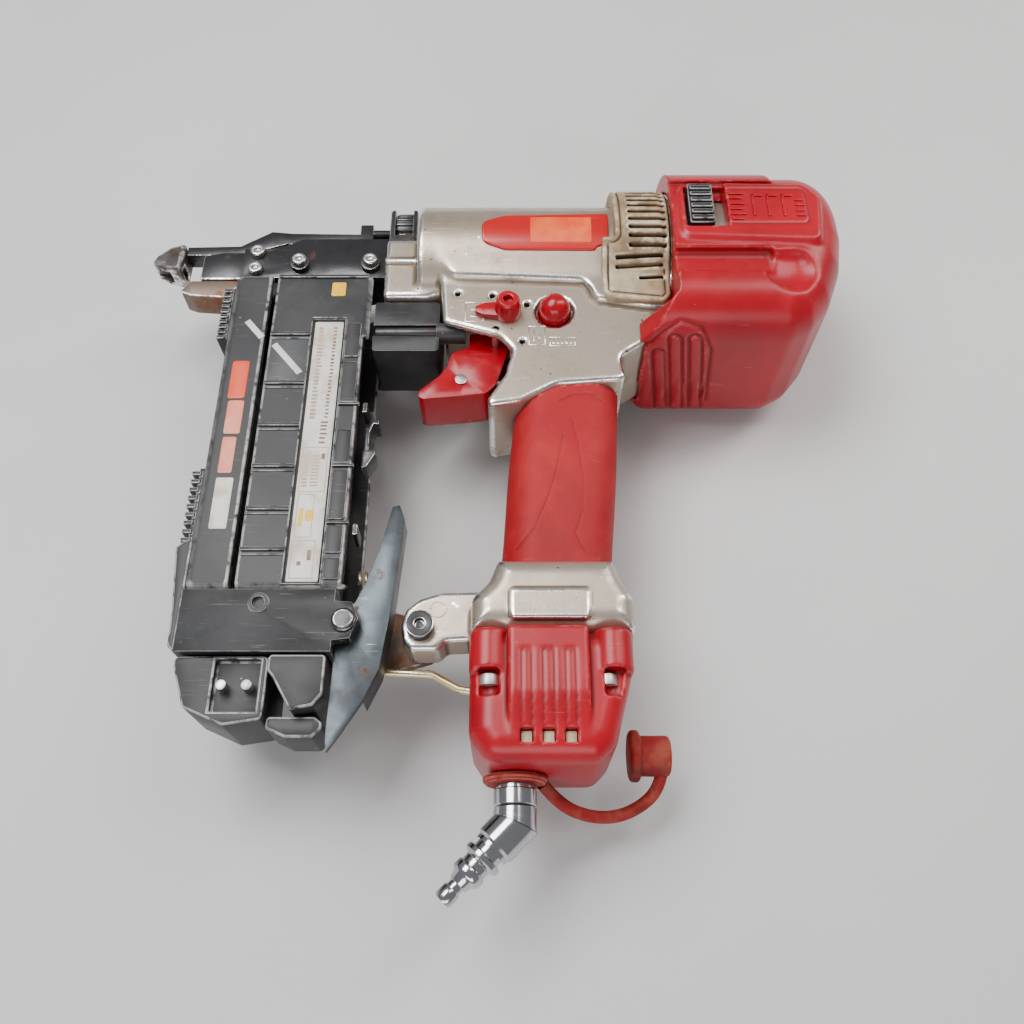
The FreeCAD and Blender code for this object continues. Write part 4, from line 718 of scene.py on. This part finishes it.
def casting_field(x, y, z):
    off = np.abs(z - MID)
    barrel = rod(y - AXIS_Y, z - MID, 27.5, x - 17.6, 51.6, 2)
    barrel = np.minimum(barrel, rod(y - AXIS_Y, z - MID, 33, x - 83.6, 14.4, 1))
    ledge = slab(polygon(x, y, LEDGE), off, 22.6, 1.6)
    shape = join(barrel, ledge, 5)
    shape = join(shape, slab(polygon(x, y, NECK_SIDE), off, 20, 1.6), 2.2)
    front = slab(polygon(x, y, rounded([(-48, 81), (-30, 81), (-22, 84), (-22, 112), (-48, 112)],
                                       [2, 0, 0, 0, 2])), off, 16, 2)
    shape = join(shape, front, 2.5)
    shape = join(shape, slab(polygon(x, y, rounded([(-48, 98.2), (-18, 98.2), (-18, 100.8),
                                                    (-48, 100.8)], 0.6)), off, 17.2, 0.7), 0.8)
    across, along = grip_frame(x, y)
    core = slab(np.hypot(np.maximum(np.abs(across) - 8, 0), np.maximum(off - 6.5, 0)) - 9,
                along + 2, 46, 2)
    shape = join(shape, core, 4)
    bell = slab(polygon(x, y, BELL), off, 25, 7)
    shape = join(shape, bell, 3)
    badge = slab(polygon(x, y, oblong(4.5, -63, 31, -52.5, 1.5)), off, 25.6, 0.6)
    shape = join(shape, badge, 0.8)
    shape = np.maximum(shape, NECK_Y - y - np.where(x < -9, 99, 0))
    shape = join(shape, slab(polygon(x, y, LUG), off, 8, 1.6), 1.5)
    for radius, hx, hy, floor in ((1.3, -17, 79, 15), (1.3, -3, 78, 15), (1.3, 11, 73.5, 15),
                                  (1.3, 9, 55, 15), (3.4, 3.4, 69, 12), (7.8, 22, 70, 18.4),
                                  (6.4, 22, 70, 10)):
        shape = np.maximum(shape, -np.maximum(np.hypot(x - hx, y - hy) - radius,
                                              floor - (z - MID)))
    shape = np.maximum(shape, -(np.hypot(x + 27, y + 60) - 3.6))
    shape = np.maximum(shape, -block(x, y, off, (-26, 53, -17), (6.5, 72.5, 17), 0.3))
    shape = np.maximum(shape, -block(x, y, off, (-50, 104.6, -9), (-20, 109.4, 9), 0.3))
    shape = np.maximum(shape, -rod(y - 50, z - MID, 7, x - 11.5, 16.5, 0.3))
    return np.maximum(shape, -rod(y - AXIS_Y, z - MID, 24.6, x - 40, 69, 0.3))


VENT = rounded([(40.8, 76), (43, 73), (66, 70.4), (69, 74), (69, 150), (46, 150), (46, 98.5),
                (40.8, 98.5)], [2, 2, 3, 0, 0, 0, 1, 1.5])


def vent_field(x, y, z):
    off = z - MID
    reach = np.hypot(y - AXIS_Y, off)
    shape = np.maximum(reach - 34, polygon(x, y, VENT))
    plate = slab(polygon(x, y, VENT), off - 12, 13.6, 2.2)
    plate = np.maximum(plate, y - 95)
    shape = join(shape, plate, 3)
    shape = carve(shape, -(polygon(x, y, VENT) + 0.4), 1.4)
    shape = np.maximum(shape, -block(x, y, off, (40, 60, -80), (80, 127, 4), 1))
    face = polygon(x, y, VENT)
    lip = line(np.abs(face + 2.6), 1.0, 0.55)
    slots = np.full(np.broadcast(x, y).shape, 9.0)
    for i in range(9):
        level = 94.6 + 3.95 * i
        slots = np.minimum(slots, slab(np.abs(y - level) - 0.95, x - 59.8, 7.8, 0.8))
    for level, low in ((90.4, 46.5), (87.2, 46.5), (82.4, 56)):
        slots = np.minimum(slots, slab(np.abs(y - level - 0.05 * (x - 57)) - 0.75,
                                       x - (low + 66) / 2, (66 - low) / 2, 0.7))
    shape = carve(shape + lip, np.maximum(slots, 26 - np.maximum(reach, off + 5.5)), 0.5)
    shape = np.maximum(shape, 27.6 - reach)
    return np.maximum(shape, -np.maximum(polygon(x, y, NECK) - 0.3, np.abs(off) - 20.2))


PLATE = rounded([(-7.4, 100), (2, 96.6), (38.5, 96.4), (40, 98), (44.6, 99.6), (44.6, 115.6),
                 (2, 114.2), (-7.4, 110)], [4, 8, 1, 1.5, 1.5, 1.5, 8, 4])


def plate_field(x, y, z):
    reach = np.hypot(y - AXIS_Y, z - MID)
    return np.maximum(slab(polygon(x, y, PLATE), reach - 27.75, 0.75, 0.35), MID + 5 - z)


def sticker_field(x, y, z):
    reach = np.hypot(y - AXIS_Y, z - MID)
    shape = slab(polygon(x, y, oblong(12.3, 99.2, 37.6, 112.6, 0.4)), reach - 28.45, 0.3, 0.12)
    return np.maximum(shape, MID + 5 - z)


def hoop(x_low, y_low, x_high, y_high, wide, z_low, z_high):
    """Four bars that frame an oblong."""
    return [(oblong(x_low, y_low, x_high, y_low + wide), z_low, z_high),
            (oblong(x_low, y_high - wide, x_high, y_high), z_low, z_high),
            (oblong(x_low, y_low + wide, x_low + wide, y_high - wide), z_low, z_high),
            (oblong(x_high - wide, y_low + wide, x_high, y_high - wide), z_low, z_high)]


def casting():
    moulded("casting", casting_field, (-48, -68, 8), (98, 140, 74), 1.0, "cast",
            ["body_casting"])
    moulded("vent_grille", vent_field, (40, 70, 36), (69, 141, 75), 0.6, "tan",
            ["exhaust_vent_cover"])
    moulded("side_plate", plate_field, (-8, 96, 55), (45, 116, 70), 0.5, "plate",
            ["name_plate"])
    moulded("plate_sticker", sticker_field, (12, 99, 60), (38, 113, 70), 0.45, "orange")
    top = MID + 20
    shapes = hoop(-13.8, 64.5, -6.2, 74.5, 0.45, top - 0.3, top + 0.3)
    shapes += hoop(11.5, 53, 18.3, 62.5, 0.45, top - 0.3, top + 0.3)
    shapes += hoop(19.8, 52.6, 30, 57, 0.4, top - 0.3, top + 0.3)
    for i in range(5):
        shapes.append((oblong(21 + 1.7 * i, 53.6, 21.8 + 1.7 * i, 55.9), top - 0.3, top + 0.2))
    for bar in ((13.4, 55, 14, 60.5), (15.4, 56, 16.2, 58.4), (-11.5, 67, -8.4, 68),
                (-11.5, 70.4, -8.4, 71.2)):
        shapes.append((oblong(*bar), top - 0.3, top + 0.25))
    cut_outs("cast_marks", shapes, "cast", 0.15)
    turns = np.linspace(0, 2 * math.pi, 24, endpoint=False)
    ring, inner = ([(-21.2 + r * math.cos(a), -53 + r * math.sin(a)) for a in turns]
                   for r in (3.2, 2.6))
    links = [([ring[i], ring[(i + 1) % 24], inner[(i + 1) % 24], inner[i]], MID + 7.8, MID + 8.3)
             for i in range(24)]
    cut_outs("lug_ring", links, "cast", 0.0)


# ---- grip and end cap ----

def grip_field(x, y, z):
    off = z - MID
    across, along = grip_frame(x, y)
    swell = 0.55 * (1 + np.cos(2 * math.pi * (along - 2) / 78)) * 0.5
    wide = np.maximum(np.abs(across) - 7.5, 0)
    thick = np.maximum(np.abs(off) - 6.2, 0)
    section = np.hypot(wide, thick) - 12.4 - swell
    flare = 1.5 * np.exp(-((y + 46) / 2.2) ** 2)
    shape = section - flare
    shape = shape + line(track(across, along, [(-3, 28), (2, 31), (8, 32), (13, 30)]), 0.6, 0.22)
    shape = shape + line(track(across, along, [(-1, 12), (-2.6, -3), (-5, -14), (-9, -27),
                                               (-15, -35)]), 0.6, 0.22)
    shape = shape + line(track(across, along, [(2, 20), (5, 8), (7.5, -6), (8, -18), (5.6, -28),
                                               (10, -36), (14, -36)]), 0.6, 0.22)
    bottom = -45.2 - 0.012 * (x - 22) ** 2 + 0.012 * off ** 2
    shape = np.maximum(shape, bottom - y)
    shape = np.maximum(shape, y - 42)
    return np.maximum(shape, -slab(polygon(x, y, NECK_SIDE) - 0.1, off, 20.2, 0.3))


END = rounded([(-9, -66), (46, -66), (44.4, -82), (38.5, -104), (33, -109.6), (-3, -109.6),
               (-9, -101)], [0, 0, 10, 7, 6, 8, 8])
END_PANEL = rounded([(3.6, -66), (30.3, -66), (30.3, -106), (3.6, -106)], [0, 0, 4, 4])


def end_field(x, y, z):
    off = np.abs(z - MID)
    shape = slab(polygon(x, y, END), off, 25, 8)
    slope = np.clip((-88 - y) / 18, 0, 1)
    panel = slab(polygon(x, y, END_PANEL), off + 4.5 * slope ** 1.3, 27.8, 1.6)
    shape = join(shape, panel, 1.2)
    for cx in (-2.6, 38.5):
        boss = rod(x - cx, off - 20.5, 6.6, y + 73.9, 7.4, 1.4)
        shape = join(shape, boss, 1.0)
        shape = carve(shape, rod(x - cx, off - 24.5, 3.6, y + 84.6, 4.4, 1.0), 0.5)
    high = np.clip((off - 22) / 2, 0, 1)
    for i in range(3):
        fx = 9.6 + 7.1 * i
        finger = np.abs(polygon(x, y, oblong(fx - 1.7, -99.2, fx + 1.7, -74.5, 0.4)))
        shape = shape + high * line(finger, 0.5, 0.45)
        shape = carve(shape, block(x, y, off, (fx - 2, -104.2, 21), (fx + 2, -99.8, 40), 0.4), 0.3)
    shape = np.maximum(shape, y - NECK_Y + 0.15)
    return np.maximum(shape, -rod(x - 6, z - MID, 5.6, y + 118, 20, 0.3))


def end_cap():
    moulded("rubber_grip", grip_field, (-2, -53, 20), (50, 42, 62), 0.75, "grip",
            ["grip_sleeve"])
    moulded("end_cover", end_field, (-9.2, -110, 13), (46.2, -66, 69), 0.75, "red",
            ["end_cap"])
    squares = []
    for i in range(3):
        fx = 9.6 + 7.1 * i
        squares.append((oblong(fx - 1.75, -103.9, fx + 1.75, -100.1, 0.3), MID + 20.6, MID + 22.6))
    cut_outs("end_cover_pads", squares, "beige", 0.2)


# ---- air fittings ----

MITRE = Vector((math.sin(math.radians(22.5)), math.cos(math.radians(22.5)), 0))
COLLAR = [(0, 4.2), (0, 6.8), (0.4, 7.2), (5, 7.2), (5.4, 6.8), (5.4, 6.3), (7, 6.3), (7, 4.2)]
SLEEVE = [(0.2, 2.6), (0.2, 6.8), (0.6, 7.2), (14, 7.2), (14, 2.6)]
PLUG = [(-14, 0), (-14, 7.2), (9, 7.2), (9.9, 6.3), (11.4, 6.3), (11.4, 5), (13.5, 5),
        (13.7, 6.2), (14.1, 6.6), (15.6, 6.6), (16.1, 6.1), (16.9, 4.7), (19, 4.6), (19.5, 5.2),
        (20, 5.4), (22.2, 5.4), (22.8, 5.0), (23.8, 3.9), (25.6, 3.5), (26, 3.1), (26, 2.6),
        (28, 2.6), (28, 2.9), (28.4, 3.2), (32, 3.2), (32.8, 2.7), (32.8, 1.9), (24, 1.8),
        (24, 0)]


def fitting(name, node, profile, start, along, material, cut=0):
    """A turned piece with 72 sides, cut off on one side of the slanted joint."""
    form = bmesh.new()
    worn = form.faces.layers.float.new("wear_face")
    turn = Vector((1, 0, 0)).rotation_difference(Vector(along))
    origin = Vector(start)
    rings = []
    for step in range(SIDES):
        angle = 2 * math.pi * step / SIDES
        spots = [origin + turn @ Vector((d, r * math.cos(angle), r * math.sin(angle)))
                 for d, r in profile]
        rings.append([form.verts.new(metres(*spot)) for spot in spots])
    for step in range(SIDES):
        here, ahead = rings[step], rings[(step + 1) % SIDES]
        for i in range(len(profile)):
            j = (i + 1) % len(profile)
            if profile[i][1] or profile[j][1]:
                form.faces.new((here[i], here[j], ahead[j], ahead[i]))
    bmesh.ops.remove_doubles(form, verts=form.verts, dist=1e-6)
    if cut:
        point = Vector(metres(6, -125, MID)) - MITRE * 0.00012 * cut
        made = bmesh.ops.bisect_plane(form, geom=form.verts[:] + form.edges[:] + form.faces[:],
                                      plane_co=point, plane_no=MITRE, clear_outer=cut > 0,
                                      clear_inner=cut < 0)
        rim = [e for e in made["geom_cut"] if isinstance(e, bmesh.types.BMEdge)]
        bmesh.ops.triangle_fill(form, edges=rim, use_beauty=True)
    bmesh.ops.recalc_face_normals(form, faces=form.faces)
    return finish_form(form, name, material, BODY_OF[node], [node], worn)


DUST_COVER = [(0, 0), (0, 7.6), (0.4, 8.5), (1.1, 8.95), (2.9, 8.95), (3.5, 8.5), (3.9, 7.6),
              (4.3, 7), (13.3, 7), (14, 6.7), (14.4, 6), (14.4, 4.4), (14, 4.2), (5, 4.2), (5, 0)]


def air_fittings():
    down, slant = (0, -1, 0), (-math.sqrt(0.5), -math.sqrt(0.5), 0)
    fitting("inlet_fitting", "inlet_collar", COLLAR, (6, -119.5, MID), (0, 1, 0), "chrome")
    fitting("swivel_fitting", "swivel_collar", SLEEVE, (6, -119.6, MID), down, "chrome",
            -1)
    fitting("plug_fitting", "plug_elbow", PLUG, (6, -125, MID), slant, "chrome", 1)
    fitting("dust_cover", "dust_cap", DUST_COVER, (45.8, -99.4, 26.5), (1, 0, 0), "dusty_red")


# ---- nose ----

TIP = rounded([(-151.4, 110.5), (-150, 107.5), (-145, 105), (-137.4, 103.6), (-137.2, 113.6),
               (-137.2, 118.2), (-144, 117.6), (-149.6, 113.6)], [1, 2, 3, 1, 0, 1, 3, 2])


def tip_field(x, y, z):
    off = z - MID
    narrow = 4.2 + 0.2 * (x + 151.4)
    shape = slab(polygon(x, y, TIP), off, np.minimum(narrow, 6.8), 1.6)
    shape = shape + line(np.abs(off), 0.9, 0.5) * np.exp(-((x + 150) / 4) ** 2)
    return np.maximum(shape, -block(x, y, off, (-160, 104.9, -3.6), (-136, 109.1, 3.6), 0.4))


# ---- magazine ----

def case_field(x, y, z):
    off = z - MID
    shape = block(x, y, off, (-109, -49, -17), (-52, 92, 17), 2.6)
    shape = carve(shape, block(x, y, off, (-93.9, -60, 14.8), (-91.5, 100, 30), 0.5), 0.5)
    shape = carve(shape, block(x, y, off, (-74.8, -47.2, 16.1), (-62, 68.4, 30), 0.5), 0.4)
    shape = carve(shape, block(x, y, off, (-51.9 - 2.6, -47, 12.5), (-40, 60, 30), 0.5), 0.5)
    return np.maximum(shape, -block(x, y, off, (-106.6, -60, -14.6), (-40, 100, 14.6), 0.3))


def magazine():
    moulded("magazine_case", case_field, (-109, -49, 24), (-52, 92, 58), 0.9, "black",
            ["magazine_cover"])
    top = MID + 17
    ribs = [(oblong(-91.2, y - low, -75.2, y + high), top - 0.5, top + rise)
            for low, high, rise in ((0.7, 0.7, 0.9), (2.4, -1.7, 0.5))
            for y in (60.8, 37.2, 18, 0, -17.8, -34)]
    for y_low, y_high in ((28, 47), (1, 15.8), (-22.4, -1.6), (-35.6, -24.6), (-45.8, -37.4),
                          (49.4, 66)):
        ribs.append((oblong(-61.2, y_low, -55.2, y_high, 1.0), top - 0.6, top + 0.7))
    for y in (27.3, 0, -23.6):
        ribs.append((oblong(-61.6, y - 0.5, -53.4, y + 0.5), top - 0.6, top + 1.1))
    ribs += hoop(-75.4, -47.6, -61.4, 69.2, 0.5, top - 0.5, top + 0.55)
    ribs.append((oblong(-91, 89.6, -54, 91, 0.4), top - 0.6, top + 0.8))
    cut_outs("case_ribs", ribs, "black", 0.22)
    clips = [(rounded([(-52.4, 31), (-49.6, 31), (-48.4, 27), (-47.3, 27), (-47.3, 25.6),
                       (-49.4, 25.6), (-50.6, 22), (-50.6, 9), (-52.4, 9)], 0.3), MID - 4, MID + 6),
             (rounded([(-52.4, 12.4), (-47.6, 12.4), (-47.6, 10.8), (-50.6, 5.2), (-52.4, 4.6)],
                      0.4), MID - 2, MID + 8)]
    for y in (28, -24.5):
        clips.append((oblong(-52.6, y - 2.2, -50.9, y + 2.2, 0.5), MID + 3, MID + 14))
    cut_outs("case_clips", clips, "dark_steel", 0.25)
    low = top - 0.95
    cut_outs("long_label", [(oblong(-74, -46.2, -62.7, 67.4, 0.4), low, low + 0.28)], "white",
             0.08)
    rows = []
    pale = []
    seed = np.random.default_rng(4)
    for i in range(27):
        y = 64.8 - i * 1.7
        if y < 22:
            break
        start = -66.6 + seed.uniform(0, 0.4)
        rows.append((oblong(start, y - seed.uniform(0.5, 1.1), start + 1.3, y), low, low + 0.34))
        pale.append((oblong(-72.2, y - seed.uniform(0.7, 1.3), -70.6 + seed.uniform(0, 1), y),
                     low, low + 0.33))
    for y in (20, 18.4, 16.8, 14.9, 13, 11):
        rows.append((oblong(-67.6, y - 0.8, -65.6 + seed.uniform(0, 1), y), low, low + 0.34))
    for i in range(10):
        y = 5 - i * 1.4
        pale.append((oblong(-72.4, y - 0.8, -70.4, y), low, low + 0.33))
        pale.append((oblong(-69.4, y - 0.6, -66.4, y), low, low + 0.33))
    for frame_box in ((-73.2, -10.6, -63.6, 8.6), (-73, -29, -66.8, -11.4),
                      (-73.2, -45, -64.8, -30.2)):
        pale += hoop(*frame_box, 0.25, low, low + 0.34)
    rows += [(oblong(-70.8, -40, -69.4, -38.4), low, low + 0.34),
             (oblong(-67.4, -38, -66, -34), low, low + 0.34),
             (oblong(-66, 3.4, -64.6, 5.8), low, low + 0.34)]
    cut_outs("label_print", rows, "print", 0.0)
    cut_outs("label_pale_print", pale, "pale_print", 0.0)
    marks = [(oblong(-68.7, 80, -63, 87, 0.8), top - 0.2, top + 0.45),
             (oblong(-72, -24.5, -70.4, -17.4, 0.6), low, low + 0.36),
             (oblong(-69.6, -22.5, -66.6, -18, 0.9), low, low + 0.36)]
    cut_outs("yellow_marks", marks, "yellow", 0.12)
    cut_outs("angle_panel", [(oblong(-90.6, 38.6, -75.6, 58.2, 0.4), top - 0.3, top + 0.25)],
             "panel", 0.12)
    slash = np.array([0.64, -0.77])
    across = np.array([0.77, 0.64]) * 1.25

    def stripe(start, end):
        a, b = np.array(start, float), np.array(end, float)
        return [tuple(a - across), tuple(b - across), tuple(b + slash * 0.2 + across),
                tuple(a + across)]

    cut_outs("angle_stripe", [(stripe((-89.2, 55.6), (-77.8, 41.8)), top, top + 0.42),
                              (stripe((-101.4, 67.4), (-94.6, 59.2)), top - 0.2, top + 0.2)],
             "white", 0.08)
    for name, material, rise, patches in (
        ("strip_label", "orange", 0.22, [(-104.4, 30, -97.8, 47.6, 1.2)]),
        ("strip_label_light", "pink", 0.2, [(-103.8, 14, -97.6, 29, 1.0),
                                            (-103.6, -3, -98.4, 12.6, 1.0)]),
        ("strip_label_white", "white", 0.2, [(-103.6, -26, -97.2, -5, 0.8)]),
    ):
        cut_outs(name, [(oblong(*patch), top - 0.2, top + rise) for patch in patches],
                 material, 0.08)


# Width of the eased rims in millimetres, material, slot and the nodes that they go on.
EASED = [
    (0.35, "black", "black_rubber", "upper_front_grip lower_front_grip"),
    (0.8, "black", "black_plastic", "guard_block rail_end_cap foot_heel"),
    (0.6, "black", "black_plastic", "end_block"),
    (0.7, "black", "black_plastic", "foot_block link_housing"),
    (0.2, "worn_steel", "worn_steel", "foot_pins trigger_pin trigger_rivet valve_plunger"),
    (0.3, "worn_steel", "worn_steel", "magazine_rail contact_lever"),
    (0.4, "dark_steel", "dark_steel", "pusher lug_bolt contact_link"),
    (0.5, "brown_steel", "dark_steel", "magazine_bracket"),
    (0, "brass", "brass", "stay_wire"),
    (0.5, "lever", "worn_steel", "latch_lever"),
    (0.3, "dark_steel", "dark_steel", "latch_pin"),
    (0, "brass", "blade_steel", "latch_spring"),
    (0.6, "dark_steel", "dark_steel", "driver_guide nose_block"),
    (0.25, "worn_steel", "worn_steel", "guide_screws"),
    (0.5, "brown_steel", "worn_steel", "nose_shoe"),
    (0.5, "dark_steel", "dark_steel", "contact_bar"),
    (0.6, "dark_steel", "black_plastic", "adjuster_block"),
    (0.25, "dark_steel", "dark_steel", "adjuster_dial"),
    (0.7, "red_gloss", "red_trigger", "trigger"),
    (0.3, "alloy", "alloy", "trigger_valve_body"),
    (0.9, "red_gloss", "red_knob", "trigger_lock_knob side_button"),
    (0.3, "alloy", "worn_steel", "end_cap_screws"),
    (0.4, "dusty_red", "red_rubber", "tether_ring"),
]
HIDDEN = {
    "cylinder_sleeve": "alloy", "bumper": "tan_rubber", "head_cap": "alloy", "piston": "alloy",
    "piston_ring": "seal", "driver_blade": "worn_steel", "head_valve": "alloy",
    "head_valve_spring": "worn_steel", "contact_spring": "worn_steel",
    "plunger_spring": "worn_steel", "pusher_spring": "worn_steel",
}
TETHER = [(15.2, -111.4, 38), (20.5, -116.5, 32), (30, -119.6, 25), (41, -119.4, 20.5),
          (50.5, -115.2, 19.5), (56.3, -109.8, 22), (57.2, -105.2, 25.5)]


def tether():
    data = bpy.data.curves.new("cap_strap", "CURVE")
    data.dimensions = "3D"
    spline = data.splines.new("NURBS")
    spline.points.add(len(TETHER) - 1)
    for point, place in zip(spline.points, TETHER):
        point.co = (*metres(*place), 1)
    spline.order_u = 3
    spline.use_endpoint_u = True
    data.bevel_depth = 0.0022
    data.bevel_resolution = 6
    data.resolution_u = 16
    data.use_fill_caps = True
    strap = link(bpy.data.objects.new("cap_strap", data))
    piece(strap, "dusty_red", "frame", ["cap_tether"])


def floor():
    data = bpy.data.meshes.new("floor")
    data.from_pydata([(-4, -4, -0.0003), (4, -4, -0.0003), (4, 4, -0.0003), (-4, 4, -0.0003)],
                     [], [(0, 1, 2, 3)])
    data.materials.append(MATERIALS["floor"].mat)
    link(bpy.data.objects.new("floor", data))


studio()
MATERIALS = make_materials()
floor()
for width, material, slot, nodes in EASED:
    for node in nodes.split():
        soften(node, width, material)
for node, material in HIDDEN.items():
    frame["nodes"][node].data.materials.clear()
    frame["nodes"][node].data.materials.append(MATERIALS[material].mat)
air_fittings()
moulded("contact_tip", tip_field, (-151.4, 103, 34), (-137, 118.4, 48), 0.45, "nose_steel",
        ["contact_foot"], BODY_OF["contact_foot"])
tether()
rear_cap()
casting()
end_cap()
magazine()
